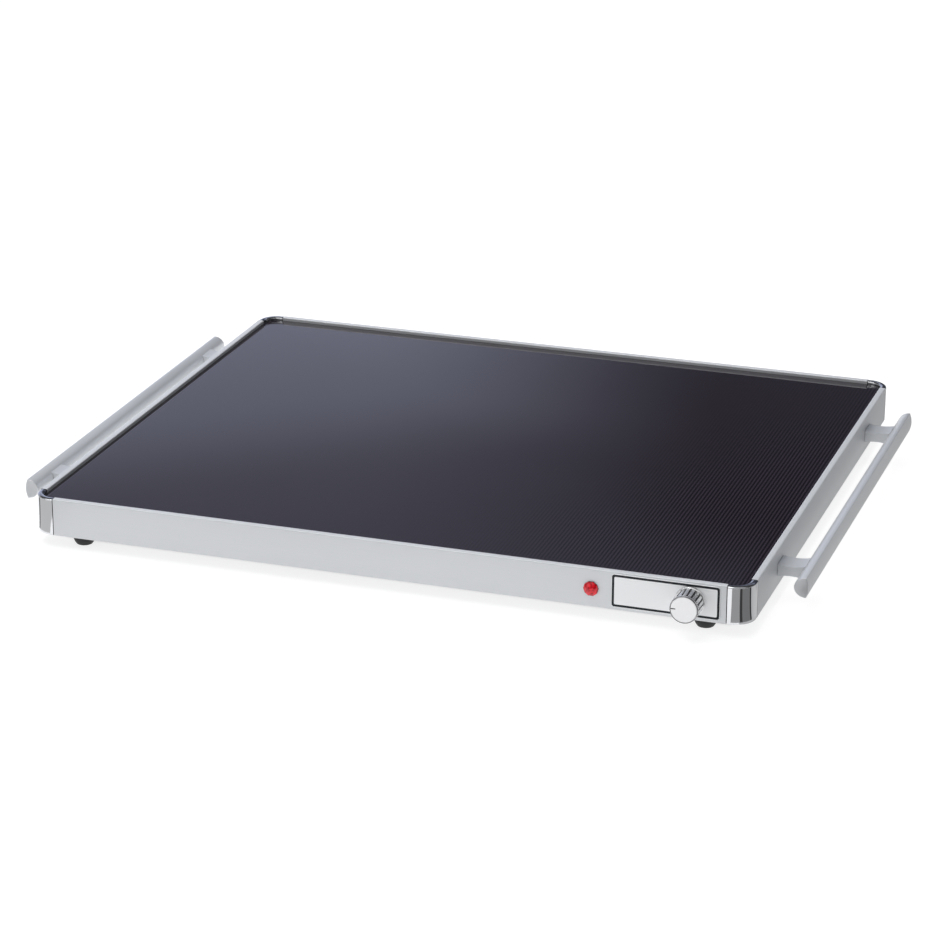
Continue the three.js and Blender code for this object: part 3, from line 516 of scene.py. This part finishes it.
def upper_section(crowned):
    """The outer wall, top land and glass ledge, as (inset, height) points from the wall's foot."""
    foot_round = 0.8 * MM
    points = arc(foot_round, FRAME_BOTTOM + foot_round, foot_round, foot_round, 3, 2, 5)
    if crowned:
        shoulder = 1.6 * MM
        points += arc(LAND / 2, FRAME_TOP - shoulder, LAND / 2, shoulder, 2, 1, 10)
        points += arc(LAND / 2, FRAME_TOP - shoulder, LAND / 2, shoulder, 1, 0.12, 9)[1:]
        points.append((LAND, FRAME_TOP - 1.5 * shoulder))
    else:
        edge = 1.2 * MM
        inner = 0.9 * MM
        points += arc(edge, FRAME_TOP - edge, edge, edge, 2, 1, 8)
        points += arc(LAND - inner, FRAME_TOP - inner, inner, inner, 1, 0, 8)
    ledge_bottom, ledge_top = LEDGE_LEVELS
    points += [(LAND, ledge_top), (LEDGE_REACH, ledge_top), (LEDGE_REACH, ledge_bottom)]
    points.append((WALL, ledge_bottom))
    return points


def rail_section():
    flange_bottom, flange_top = FLANGE_LEVELS
    return upper_section(False) + [
        (WALL, flange_top),
        (FLANGE_REACH, flange_top),
        (FLANGE_REACH, flange_bottom),
        (WALL, flange_bottom),
        (WALL, FRAME_BOTTOM),
    ]


def add_rail(side, material):
    node = side + "_rail"
    lowest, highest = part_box(node)
    along = highest - lowest
    half = max(along.x, along.y) / 2 - SEAM
    section = rail_section()
    mesh = loft([[(x, y, z) for y, z in section] for x in (-half, half)])
    mesh.transform(on_side(side))
    piece = add_piece(node + "_shape", mesh, material, "heater", "frame_aluminium", node)
    darken_ends(piece)
    combine(piece, "DIFFERENCE", rail_cuts(side))
    smooth(piece, 40)
    return piece


def wall_hole(side, radius, x, z):
    return cylinder(radius, -WALL - 2 * MM, 2 * MM, facing_out(side, x, z))


def rail_cuts(side):
    """The holes and notches of one rail, as closed meshes."""
    if side in ("left", "right"):
        start = HALF_DEPTH - FLANGE_REACH - 1 * MM
        cuts = []
        for sign in (-1, 1):
            x0, x1 = sorted((sign * start, sign * HALF_DEPTH))
            lowest = (x0, WALL + 1 * MM, FLANGE_LEVELS[0] - 1 * MM)
            highest = (x1, FLANGE_REACH + 1 * MM, FLANGE_LEVELS[1] + 1 * MM)
            cuts.append(block(lowest, highest, on_side(side)))
            cuts.append(wall_hole(side, SCREW_HOLE, sign * BRACKET_X, BAR_Z))
        return cuts
    cuts = [foot_screw_hole(sign, side) for sign in (-1, 1)]
    if side == "front":
        cuts.append(wall_hole(side, BUSH_HOLE, KNOB_CENTRE.x, KNOB_CENTRE.z))
        lamp = middle("pilot_lamp_lens")
        cuts.append(wall_hole(side, LAMP_HOLE, lamp.x, lamp.z))
        return cuts
    centre = middle("mains_inlet")
    half_x, half_z = INLET_CUTOUT
    lowest = (centre.x - half_x, REAR_FACE - FLANGE_REACH - 1 * MM, centre.z - half_z)
    highest = (centre.x + half_x, REAR_FACE + 1 * MM, centre.z + half_z)
    cuts.append(block(lowest, highest))
    for sign in (-1, 1):
        cuts.append(wall_hole(side, INLET_SCREW_HOLE, -centre.x + sign * INLET_SCREW_X, centre.z))
    return cuts


def foot_screw_hole(sign, side):
    foot = middle("foot_" + side + ("_right" if sign > 0 else "_left"))
    place = Matrix.Translation((foot.x, foot.y, 0))
    return cylinder(SCREW_HOLE, FLANGE_LEVELS[0] - 1 * MM, FLANGE_LEVELS[1] + 1 * MM, place)


def darken_ends(piece):
    """A swept piece's two end faces, which stand in the thin dark seams, get painted shade so the seams read
    as dark lines.
    """
    piece.data.materials.append(shadow_paint)
    for face in piece.data.polygons:
        face.material_index = int(len(face.vertices) > 4)


def add_corner(name):
    """A corner piece: its skin swept round the corner, with the block and tongues behind it."""
    node = "corner_" + name
    sign_x = 1 if name.endswith("right") else -1
    sign_y = 1 if name.startswith("rear") else -1
    section = upper_section(True) + [(WALL, FRAME_BOTTOM)]
    arc_steps = 40
    leg = CORNER_RADIUS * QUARTER / 13 - SEAM / 2
    rings = []
    for step in range(-1, arc_steps + 2):
        angle = min(max(step, 0), arc_steps) / arc_steps * QUARTER
        start = Vector((CORNER_RADIUS * math.sin(angle), -CORNER_RADIUS * math.cos(angle), 0))
        inward = -start.normalized()
        if step < 0:
            start.x -= leg
        if step > arc_steps:
            start.y += leg
        rings.append([start + inset * inward + Vector((0, 0, z)) for inset, z in section])
    mesh = loft(rings)
    centre = (sign_x * (HALF_WIDTH - CORNER_RADIUS), CENTRE_Y + sign_y * (HALF_DEPTH - CORNER_RADIUS), 0)
    turns = {"front_right": 0, "rear_right": 1, "rear_left": 2, "front_left": 3}[name]
    place = Matrix.Translation(centre) @ Matrix.Rotation(turns * QUARTER, 4, "Z")
    mesh.transform(place)
    piece = add_piece(node + "_shape", mesh, chrome, "heater", "chrome", node)
    darken_ends(piece)
    combine(piece, "UNION", [corner_block(leg, place), *corner_tongues(leg, place, turns % 2 == 0)])
    foot = middle("foot_" + name)
    hole = cylinder(SCREW_HOLE, 11.9 * MM, 17.4 * MM, Matrix.Translation((foot.x, foot.y, 0)))
    combine(piece, "DIFFERENCE", [hole])
    return smooth(piece, 40)


def corner_block(leg, place):
    """The solid behind the skin, a quarter disc with short straight sides."""
    inner = -leg + 0.2 * MM
    outer = CORNER_RADIUS - WALL / 2
    outline = [(inner, -outer), *arc(0, 0, outer, outer, -1, 0, 20), (outer, -inner), (inner, -inner)]
    mesh = loft([[(x, y, z) for x, y in outline] for z in (FLANGE_LEVELS[0], LEDGE_LEVELS[0] + 0.3 * MM)])
    mesh.transform(place)
    return mesh


def corner_tongues(leg, place, screw_on_first_leg):
    """The two flat tongues that slide into the rails; the foot's screw goes through the wider one."""
    wide, narrow = 22 * MM, 10 * MM
    reaches = (wide, narrow) if screw_on_first_leg else (narrow, wide)
    start = leg + 30 * MM
    face = CORNER_RADIUS - WALL - 0.3 * MM
    bottom, top = 12.9 * MM, 16.4 * MM
    near = 1 * MM
    first = block((-start, -face, bottom), (near, -CORNER_RADIUS + reaches[0], top), place)
    second = block((CORNER_RADIUS - reaches[1], -near, bottom), (face, start, top), place)
    return [first, second]


# ------------------------------------------------------------------ glass and seal

def add_glass():
    edge = 0.4 * MM
    levels = [(edge, GLASS_BOTTOM), (0, GLASS_BOTTOM + edge)]
    levels += [(edge - inset, GLASS_TOP - edge + rise) for inset, rise in arc(0, 0, edge, edge, 0, 1, 4)]
    rings = stacked(levels, HALF_WIDTH - GLASS_INSET, HALF_DEPTH - GLASS_INSET,
                    CORNER_RADIUS - GLASS_INSET, (0, CENTRE_Y))
    piece = add_piece("glass_plate_shape", loft(rings), dark_glass, "heater", "dark_glass", "glass_plate")
    return smooth(piece, 50)


def add_seal():
    """A black ring with a rounded top edge beside the glass and a lip under it."""
    outer = HALF_WIDTH - high("glass_seal").x
    inner = GLASS_INSET - 0.2 * MM
    half = (inner - outer) / 2
    bottom = low("glass_seal").z
    lip_top = GLASS_BOTTOM - 0.2 * MM
    lip = 13 * MM
    section = [(outer, bottom), *arc((outer + inner) / 2, GLASS_TOP - half, half, half, 2, 0, 6)]
    section += [(inner, lip_top), (lip, lip_top), (lip, bottom)]
    rings = stacked(section, HALF_WIDTH, HALF_DEPTH, CORNER_RADIUS, (0, CENTRE_Y))
    mesh = loft(rings, closed=True)
    piece = add_piece("glass_seal_shape", mesh, rubber, "heater", "black_rubber", "glass_seal")
    return smooth(piece, 50)


# ------------------------------------------------------------------ carrying bars

def bar_section(grow=0.0):
    """The bar's section as (y, z): a crowned outer face, tight edges and an elliptical inner side."""
    crown = 1.5 * MM
    edge = 0.55 * MM
    half = BAR_HALF_HEIGHT + grow
    ridge = -BAR_OUTER + crown
    depth = -BAR_INNER + grow - ridge
    points = []
    for step in range(9):
        height = 1 - step / 4
        points.append((ridge - (crown + grow) * (1 - height * height), height * (half - edge)))
    points += [(ridge + 0.12 * edge, -half + 0.45 * edge), (ridge + 0.5 * edge, -half + 0.1 * edge)]
    points += arc(ridge + 0.9 * edge, 0, depth - 0.9 * edge, half, -1, 1, 28)
    points += [(ridge + 0.5 * edge, half - 0.1 * edge), (ridge + 0.12 * edge, half - 0.45 * edge)]
    return points


def bar_solid(half_length, grow=0.0, end_round=0.0):
    section = bar_section(grow)
    centre_y = -(BAR_OUTER + BAR_INNER) / 2
    size_y = BAR_OUTER - BAR_INNER
    ends = [(end_round * (1 - math.sin(q * QUARTER / 3)), end_round * (1 - math.cos(q * QUARTER / 3)))
            for q in range(4)] if end_round else [(0, 0)]
    stations = sorted((-half_length + back, shrink) for back, shrink in ends)
    stations += [(-x, shrink) for x, shrink in reversed(stations)]
    rings = []
    for x, shrink in stations:
        scale_y = 1 - 2 * shrink / size_y
        scale_z = 1 - shrink / BAR_HALF_HEIGHT
        rings.append([(x, centre_y + (y - centre_y) * scale_y, BAR_Z + z * scale_z) for y, z in section])
    return loft(rings)


def add_bar(side):
    node = "handle_bar_" + side
    mesh = bar_solid(BAR_HALF_LENGTH, 0.0, 0.7 * MM)
    mesh.transform(on_side(side))
    piece = add_piece(node + "_shape", mesh, handle_metal, "heater", "handle_aluminium", node)
    holes = []
    for sign in (-1, 1):
        place = facing_out(side, sign * BRACKET_X, BAR_Z)
        holes.append(cylinder(SCREW_HOLE, BAR_INNER - 1 * MM, BAR_OUTER - 3.5 * MM, place, 24))
    combine(piece, "DIFFERENCE", holes)
    return smooth(piece, 32)


def add_bracket(end, side):
    """A waisted bracket, its outer end shaped to the bar."""
    node = "handle_bracket_" + end + "_" + side
    width = (high(node).y - low(node).y) / 2
    rail_half, waist_half, bar_half = 5.0 * MM, 2.2 * MM, 6.25 * MM
    start, reach = -0.2 * MM, -BAR_OUTER + 6 * MM
    steps = 14
    upper = []
    for step in range(steps + 1):
        t = step / steps
        y = (1 - t) ** 2 * start + 2 * t * (1 - t) * reach / 2 + t * t * reach
        z = (1 - t) ** 2 * rail_half + 2 * t * (1 - t) * waist_half + t * t * bar_half
        upper.append((y, z))
    outline = upper + [(y, -z) for y, z in reversed(upper)]
    mesh = loft([[(x, y, BAR_Z + z) for y, z in outline] for x in (-width, width)])
    centre = (1 if side == "right" else -1) * (middle(node).y - CENTRE_Y)
    move = on_side(side) @ Matrix.Translation((centre, 0, 0))
    mesh.transform(move)
    piece = add_piece(node + "_shape", mesh, handle_metal, "heater", "handle_aluminium", node)
    bar = bar_solid(width + 2 * MM, 0.2 * MM)
    bar.transform(move)
    hole = cylinder(SCREW_HOLE, -1 * MM, BAR_OUTER, facing_out(side, centre, BAR_Z), 24)
    combine(piece, "DIFFERENCE", [bar, hole])
    return softened(piece, 0.45 * MM, 3, 40)


# ------------------------------------------------------------------ feet and screws

def add_foot(name):
    node = "foot_" + name
    centre = middle(node)
    top = high(node).z
    radius = (high(node).x - low(node).x) / 2
    recess, recess_depth, hole = 4.3 * MM, 3.4 * MM, SCREW_HOLE
    sole = 6.6 * MM
    profile = [(recess, 0.3 * MM), (recess + 0.3 * MM, 0), (sole - 0.25 * MM, 0)]
    for step in range(15):
        share = (step / 14) ** 1.3
        swell = 1 - (1 - share) ** 2.4
        profile.append((sole + swell * (radius - sole), 0.12 * MM + share * (top - 0.42 * MM)))
    profile += [(radius - 0.3 * MM, top), (hole, top)]
    profile += [(hole, recess_depth), (recess, recess_depth)]
    mesh = turned(profile, 64)
    mesh.transform(Matrix.Translation((centre.x, centre.y, 0)))
    piece = add_piece(node + "_shape", mesh, rubber, "heater", "black_rubber", node)
    return smooth(piece, 40)


def cross_recess(reach, half_wide, start, end, place):
    bars = [((-reach, -half_wide, start), (reach, half_wide, end)),
            ((-half_wide, -reach, start), (half_wide, reach, end))]
    return [block(lowest, highest, place) for lowest, highest in bars]


def add_foot_screw(name):
    """A pan-head screw with a domed head, rolled thread and cross recess, pointing up."""
    node = "foot_screw_" + name
    centre = middle(node)
    base = low(node).z
    tip = high(node).z
    radius, core, pitch = 2.0 * MM, 1.75 * MM, 0.7 * MM
    head, head_height = 3.6 * MM, 1.9 * MM
    dome_height = head_height * 0.8
    profile = [(0, 0)]
    for step in range(1, 9):
        turn = step / 8 * QUARTER
        profile.append((head * math.sin(turn), dome_height * (1 - math.cos(turn))))
    profile += [(head, head_height - 0.15 * MM), (head - 0.15 * MM, head_height), (radius, head_height)]
    height = head_height + 0.4 * MM
    profile.append((radius, height))
    while height < tip - base - 1.2 * MM:
        profile += [(core, height + 0.35 * pitch), (radius, height + 0.8 * pitch)]
        height += pitch
    profile += [(core, tip - base - 0.5 * MM), (core - 0.5 * MM, tip - base), (0, tip - base)]
    mesh = turned(profile, 32)
    place = Matrix.Translation((centre.x, centre.y, base))
    mesh.transform(place)
    piece = add_piece(node + "_shape", mesh, screw_steel, "heater", "screw_steel", node)
    combine(piece, "DIFFERENCE", cross_recess(2 * MM, 0.45 * MM, -1 * MM, 1.1 * MM, place))
    return smooth(piece, 40)


# ------------------------------------------------------------------ knob, label and lamp

def knob_place():
    return facing_out("front", KNOB_CENTRE.x, KNOB_CENTRE.z)


def add_knob():
    """The knob turns on +z: skirt, ribbed band, neck and cap, hollow behind, with a D-shaped bore."""
    node = "control_knob"
    back, front = 1.3 * MM, 20.8 * MM
    skirt, cap, neck = 11.9 * MM, 11.2 * MM, 10.3 * MM
    band, depth, ribs = 11.3 * MM, 0.8 * MM, 18
    skirt_front, cap_back = back + 3.2 * MM, front - 2.2 * MM
    band_back, band_front = skirt_front + 0.4 * MM, cap_back - 0.8 * MM
    seat, seat_depth = 10.45 * MM, 0.8 * MM
    recess, recess_depth = 8.6 * MM, 5.5 * MM
    bore, flat, bore_end = 3.1 * MM, 1.6 * MM, 16.3 * MM

    def groove(angle):
        """0 on a rib's land and 1 in the groove beside it."""
        turn = (angle * ribs / (2 * math.pi) - 0.1) % 1
        away = min(turn, 1 - turn)
        return 1 - min(max((away - 0.13) / 0.05, 0), 1)

    def reach(angle, radius, height):
        if abs(radius - bore) < 0.01 * MM:
            up = bore * math.sin(angle)
            return bore if up <= flat else flat / math.sin(angle)
        if band_back - 0.05 * MM < height < band_front + 0.05 * MM and radius > neck:
            return radius - depth * groove(angle)
        return radius

    edge = 0.45 * MM
    rim = 0.55 * MM
    profile = [(0, front - seat_depth), (seat, front - seat_depth), (seat, front - 0.15 * MM)]
    profile += [(seat + 0.05 * MM, front), (cap - rim, front)]
    profile += arc(cap - rim, front - rim, rim, rim, 1, 0, 6)[1:]
    profile += [(cap, cap_back + 0.25 * MM), (cap - 0.25 * MM, cap_back), (neck, cap_back)]
    profile += [(neck, band_front), (neck + 0.001 * MM, band_front), (band - edge, band_front)]
    profile += [(band - 0.13 * edge, band_front - 0.3 * edge), (band, band_front - edge)]
    profile += [(band + 0.15 * MM, band_back + edge), (band + 0.15 * MM - edge, band_back)]
    profile += [(neck + 0.001 * MM, band_back), (neck, band_back - 0.001 * MM), (neck, skirt_front)]
    profile += [(skirt - 0.6 * MM, skirt_front), (skirt, skirt_front - 0.6 * MM), (skirt, back + 0.3 * MM)]
    profile += [(skirt - 0.3 * MM, back), (recess + 0.3 * MM, back), (recess, back + 0.3 * MM)]
    profile += [(recess, back + recess_depth), (bore, back + recess_depth), (bore, bore_end), (0, bore_end)]
    mesh = turned(profile, 288, reach)
    for face in mesh.polygons:
        middle_radius = math.hypot(face.center.x, face.center.y)
        on_band = band_back < face.center.z < band_front
        behind_cap = band_front - 0.05 * MM < face.center.z < cap_back and middle_radius < neck + 0.1 * MM
        in_groove = on_band and neck < middle_radius < band - 0.35 * depth
        on_rim = face.center.z > front - 0.75 * rim and middle_radius > seat
        # Faces in the rib grooves and on the neck behind the cap get painted shade; the front rim gets the
        # darkened rim metal.
        face.material_index = 1 if in_groove or behind_cap else 2 if on_rim else 0
    mesh.transform(knob_place())
    piece = add_piece(node + "_shape", mesh, None, "knob", "knob_chrome", node)
    for material in (knob_chrome, shadow_paint, knob_edge_shade):
        mesh.materials.append(material)
    return smooth(piece, 35)


def add_knob_face():
    """The inlaid disc, with its pointer line engraved at the left rim."""
    node = "knob_face_disc"
    front, thickness = 20.8 * MM, 0.7 * MM
    radius = 10.3 * MM
    pointer, half_wide, depth = 3.8 * MM, 0.4 * MM, 0.3 * MM
    profile = [(0, front - thickness), (radius, front - thickness), (radius, front - 0.2 * MM)]
    profile += [(radius - 0.2 * MM, front), (0, front)]
    mesh = turned(profile, 144)
    mesh.transform(knob_place())
    piece = add_piece(node + "_shape", mesh, knob_face, "knob", "knob_face", node)
    lowest = (-radius - 1 * MM, -half_wide, front - depth)
    groove = block(lowest, (-radius + pointer, half_wide, front + 1 * MM))
    # The groove's faces carry the near-black painted shade, so the engraving reads dark.
    groove.materials.append(shadow_paint)
    groove.transform(knob_place())
    combine(piece, "DIFFERENCE", [groove])
    return smooth(piece, 35)


def add_label():
    """A silver panel with a dark border line printed just inside its edge."""
    node = "label_panel"
    centre = middle(node)
    size = high(node) - low(node)
    front = -0.8 * MM
    corner = 3.3 * MM
    edge = 0.12 * MM
    border_outer, border_inner = 0.4 * MM, 2.3 * MM
    hole = 8.2 * MM
    levels = [(0, -0.2 * MM), (0, front + edge), (edge, front), (border_outer, front), (border_inner, front)]
    outline = []
    for inset, y in levels:
        points = rounded_outline(size.x / 2 - inset, size.z / 2 - inset, max(corner - inset, 1.0 * MM), 10)
        outline.append([(centre.x + x, FRONT_FACE + y, centre.z + z) for x, z in points])
    mesh = loft(outline)
    piece = add_piece(node + "_shape", mesh, None, "heater", "silver_panel", node)
    mesh.materials.append(silver_panel)
    mesh.materials.append(navy_print)
    for face in mesh.polygons:
        middle_x = abs(face.center.x - centre.x)
        middle_z = abs(face.center.z - centre.z)
        inset = min(size.x / 2 - middle_x, size.z / 2 - middle_z)
        flat_front = abs(face.normal.y) > 0.99 and face.center.y < FRONT_FACE + front + 0.05 * MM
        in_border = len(face.vertices) == 4 and border_outer < inset < border_inner
        face.material_index = int(flat_front and in_border)
    combine(piece, "DIFFERENCE", [cylinder(hole, -1 * MM, 2 * MM, knob_place(), 64)])
    return smooth(piece, 35)


def add_lens():
    """A low dome cut with flat facets like a jewel, on a thin rim whose side band is painted dark as shade.
    """
    node = "pilot_lamp_lens"
    centre = middle(node)
    radius = (high(node).x - low(node).x) / 2
    place = facing_out("front", centre.x, centre.z)
    sides = 10
    levels = [(1.0, 0.2, 0), (1.0, 1.0, 0), (0.80, 2.45, 0.5), (0.46, 3.55, 0), (0.14, 4.1, 0.5)]
    made = bmesh.new()
    rows = []
    for share, height, shift in levels:
        rows.append([
            made.verts.new((
                share * radius * math.cos(2 * math.pi * (i + shift) / sides),
                share * radius * math.sin(2 * math.pi * (i + shift) / sides),
                height * MM,
            )) for i in range(sides)
        ])
    for (first, second), (low_level, high_level) in zip(zip(rows, rows[1:]), zip(levels, levels[1:])):
        for i in range(sides):
            j = (i + 1) % sides
            if low_level[2] == high_level[2]:
                made.faces.new((first[i], first[j], second[j], second[i]))
            elif high_level[2]:
                made.faces.new((first[i], first[j], second[i]))
                made.faces.new((first[j], second[j], second[i]))
            else:
                made.faces.new((first[i], second[j], second[i]))
                made.faces.new((first[i], first[j], second[j]))
    made.faces.new(rows[0])
    made.faces.new(rows[-1])
    mesh = closed_mesh(made)
    mesh.transform(place)
    piece = add_piece(node + "_shape", mesh, red_lens, "heater", "red_lens", node)
    # The side band round the lens gets the near-black red painted shade.
    mesh.materials.append(shaded_lamp_band)
    for face in mesh.polygons:
        face.material_index = int(abs(face.normal.y) < 0.1)
    bevel = piece.modifiers.new("edges", "BEVEL")
    bevel.width = 0.08 * MM
    bevel.segments = 2
    bevel.limit_method = "ANGLE"
    bevel.angle_limit = math.radians(10)
    return piece


# ------------------------------------------------------------------ carried-over nodes

FINISHES = {
    "heating_foil": foil_metal,
    "heater_backing_sheet": mica,
    "insulation_blanket": insulation,
    "thermal_cutout": black_plastic,
    "base_pan": pan_steel,
    "potentiometer_shaft": screw_steel,
    "potentiometer_body": black_plastic,
    "potentiometer_nut": screw_steel,
    "pilot_lamp_body": black_plastic,
    "pilot_lamp_clip": screw_steel,
    "mains_inlet": black_plastic,
    "inlet_live_pin": brass,
    "inlet_neutral_pin": brass,
    "inlet_earth_pin": brass,
    "inlet_screw_left": screw_steel,
    "inlet_screw_right": screw_steel,
    "control_board": board_green,
    "board_tray": nylon,
    "earth_stud": brass,
    "temperature_sensor": screw_steel,
    "live_wire": brown,
    "neutral_wire": blue,
    "earth_wire": green,
    "heater_neutral_wire": blue,
    "cutout_wire": red,
    "heater_live_wire": red,
    "lamp_lead": nylon,
}


def finish_node(name, material):
    node = frame["nodes"][name]
    node.data.materials.clear()
    node.data.materials.append(material)


# ------------------------------------------------------------------ floor and lights

def add_floor():
    """A pale floor that glows a little everywhere but under the heater."""
    half, thickness, clearance = 9.0, 20 * MM, 0.2 * MM
    mesh = block((-half, -half, -thickness), (half, half, -clearance))
    floor = bpy.data.objects.new("floor", mesh)
    scene.collection.objects.link(floor)
    nodes = Nodes("pale_floor", (0.30, 0.30, 0.30), 0.9)
    nodes.set("Specular IOR Level", 0.0)
    nodes.set("Emission Color", (1, 1, 1, 1))
    mottle = nodes.noise(3.0, detail=2.0)
    nodes.color_from(nodes.mixed(nodes.spread(mottle, 0, 1), (0.29, 0.29, 0.29), (0.31, 0.31, 0.31)))
    split = nodes.node("SeparateXYZ")
    nodes.link(nodes.places(), split.inputs[0])
    past_side = nodes.math("SUBTRACT", nodes.math("ABSOLUTE", split.outputs["X"]), HALF_WIDTH)
    across = nodes.math("ABSOLUTE", nodes.math("SUBTRACT", split.outputs["Y"], CENTRE_Y))
    past_end = nodes.math("SUBTRACT", across, HALF_DEPTH)
    outside = nodes.math("MAXIMUM", past_side, past_end)
    glow = nodes.spread(outside, 0.0, 0.80, -34 * MM, -20 * MM)
    nodes.link(glow, nodes.shader.inputs["Emission Strength"])
    mesh.materials.append(nodes.material)


def flag(name, outline, radiance, height=0.0, shades=False):
    """A card that only reflections see, lying on the floor or above it, unless it shades too."""
    mesh = loft([[(x, y, height + z) for x, y in outline] for z in (0.0, 0.05 * MM)])
    card = bpy.data.objects.new(name, mesh)
    scene.collection.objects.link(card)
    nodes = Nodes(name, (0, 0, 0), 1.0)
    nodes.set("Specular IOR Level", 0.0)
    nodes.set("Emission Color", (1, 1, 1, 1))
    nodes.set("Emission Strength", radiance)
    mesh.materials.append(nodes.material)
    card.visible_camera = False
    card.visible_diffuse = shades
    card.visible_shadow = False
    card.visible_transmission = False


def fan(centre, near, far, start, end, steps=8):
    """A ring's sector from above; angles in degrees from -Y towards +X."""
    turns = [math.radians(start + (end - start) * step / steps) for step in range(steps + 1)]
    inner = [(centre[0] + near * math.sin(turn), centre[1] - near * math.cos(turn)) for turn in turns]
    outer = [(centre[0] + far * math.sin(turn), centre[1] - far * math.cos(turn)) for turn in turns]
    return inner + outer[::-1]


def add_flags():
    """Cards round the front corners, which the chrome mirrors as upright bands, a dark ceiling,
    and a grey card on the floor at the right that keeps the floor's light off that side."""
    near, far = 36 * MM, 240 * MM
    right_bands = ((-2, 36, 0.36), (36, 48, 0.05), (48, 88, 0.20), (88, 97, 0.04), (112, 165, 0.6))
    left_bands = ((-104, -91, 0.10), (-91, -20, 0.60))
    for sign, bands in ((1, right_bands), (-1, left_bands)):
        centre = (sign * (HALF_WIDTH - CORNER_RADIUS), FRONT_FACE + CORNER_RADIUS)
        for start, end, radiance in bands:
            flag("flag_%d" % (180 + start), fan(centre, near, far, start, end), radiance)
    flag("flag_ceiling", [(-3, -0.35), (3, -0.35), (3, 1.8), (-3, 1.8)], 0.06, 1.8)
    side = HALF_WIDTH + 2 * MM
    right_floor = [(side, -0.45), (side + 1.2, -0.45), (side + 1.2, 0.6), (side, 0.6)]
    flag("flag_right_floor", right_floor, 0.55, -0.1 * MM, True)


def add_light(name, place, aim, size, power, color=(1, 1, 1)):
    data = bpy.data.lights.new(name, "AREA")
    data.shape = "RECTANGLE"
    data.size, data.size_y = size
    data.energy = power
    data.color = color
    light = bpy.data.objects.new(name, data)
    light.location = place
    light.rotation_euler = (Vector(aim) - Vector(place)).to_track_quat("-Z", "Y").to_euler()
    scene.collection.objects.link(light)
    light.visible_camera = False
    return light


def add_world():
    """A pale studio: bright overhead, darker low down, and darkest towards the right."""
    world = bpy.data.worlds.new("studio")
    world.use_nodes = True
    scene.world = world
    tree = world.node_tree
    background = tree.nodes["Background"]
    coordinates = tree.nodes.new("ShaderNodeTexCoord")
    split = tree.nodes.new("ShaderNodeSeparateXYZ")
    tree.links.new(coordinates.outputs["Generated"], split.inputs[0])

    def ranged(source, start, end, first, second):
        made = tree.nodes.new("ShaderNodeMapRange")
        made.interpolation_type = "SMOOTHSTEP"
        for socket, value in (("From Min", start), ("From Max", end), ("To Min", first), ("To Max", second)):
            if isinstance(value, (int, float)):
                made.inputs[socket].default_value = value
            else:
                tree.links.new(value, made.inputs[socket])
        tree.links.new(source, made.inputs["Value"])
        return made.outputs["Result"]

    low_left = ranged(split.outputs["Z"], 0.30, 0.41, 0.64, 0.38)
    across = ranged(split.outputs["X"], -0.38, -0.21, low_left, 0.06)
    front = ranged(split.outputs["X"], -0.2, 0.4, 0.34, 0.04)
    around = ranged(split.outputs["Y"], 0.1, 0.55, front, across)
    upward = ranged(split.outputs["Z"], 0.45, 0.8, around, 0.7)
    tree.links.new(upward, background.inputs["Strength"])
    tint = tree.nodes.new("ShaderNodeMix")
    tint.data_type = "RGBA"
    tint.inputs[6].default_value = (0.97, 0.98, 1.0, 1)
    tint.inputs[7].default_value = (0.74, 0.80, 1.05, 1)
    tree.links.new(ranged(split.outputs["Y"], 0.3, 0.8, 0.0, 1.0), tint.inputs[0])
    tree.links.new(tint.outputs[2], background.inputs["Color"])


# ------------------------------------------------------------------ assembly

add_camera()
for side in ("front", "rear"):
    add_rail(side, aluminium_x)
for side in ("left", "right"):
    add_rail(side, aluminium_y)
    add_bar(side)
    for end in ("front", "rear"):
        add_bracket(end, side)
        finish_node("handle_screw_" + end + "_" + side, screw_steel)
for end in ("front", "rear"):
    for side in ("left", "right"):
        name = end + "_" + side
        add_corner(name)
        add_foot(name)
        add_foot_screw(name)
add_glass()
add_seal()
add_knob()
add_knob_face()
add_label()
add_lens()
for name, material in FINISHES.items():
    finish_node(name, material)
add_floor()
add_flags()
add_world()
add_light("overhead_softbox", (-0.6, 0.3, 2.4), (0, 0, 0), (2.6, 2.2), 52)
add_light("front_left_softbox", (-1.9, -2.4, 1.3), (0, 0, 0), (1.8, 1.2), 5)
scene.view_settings.view_transform = "Standard"
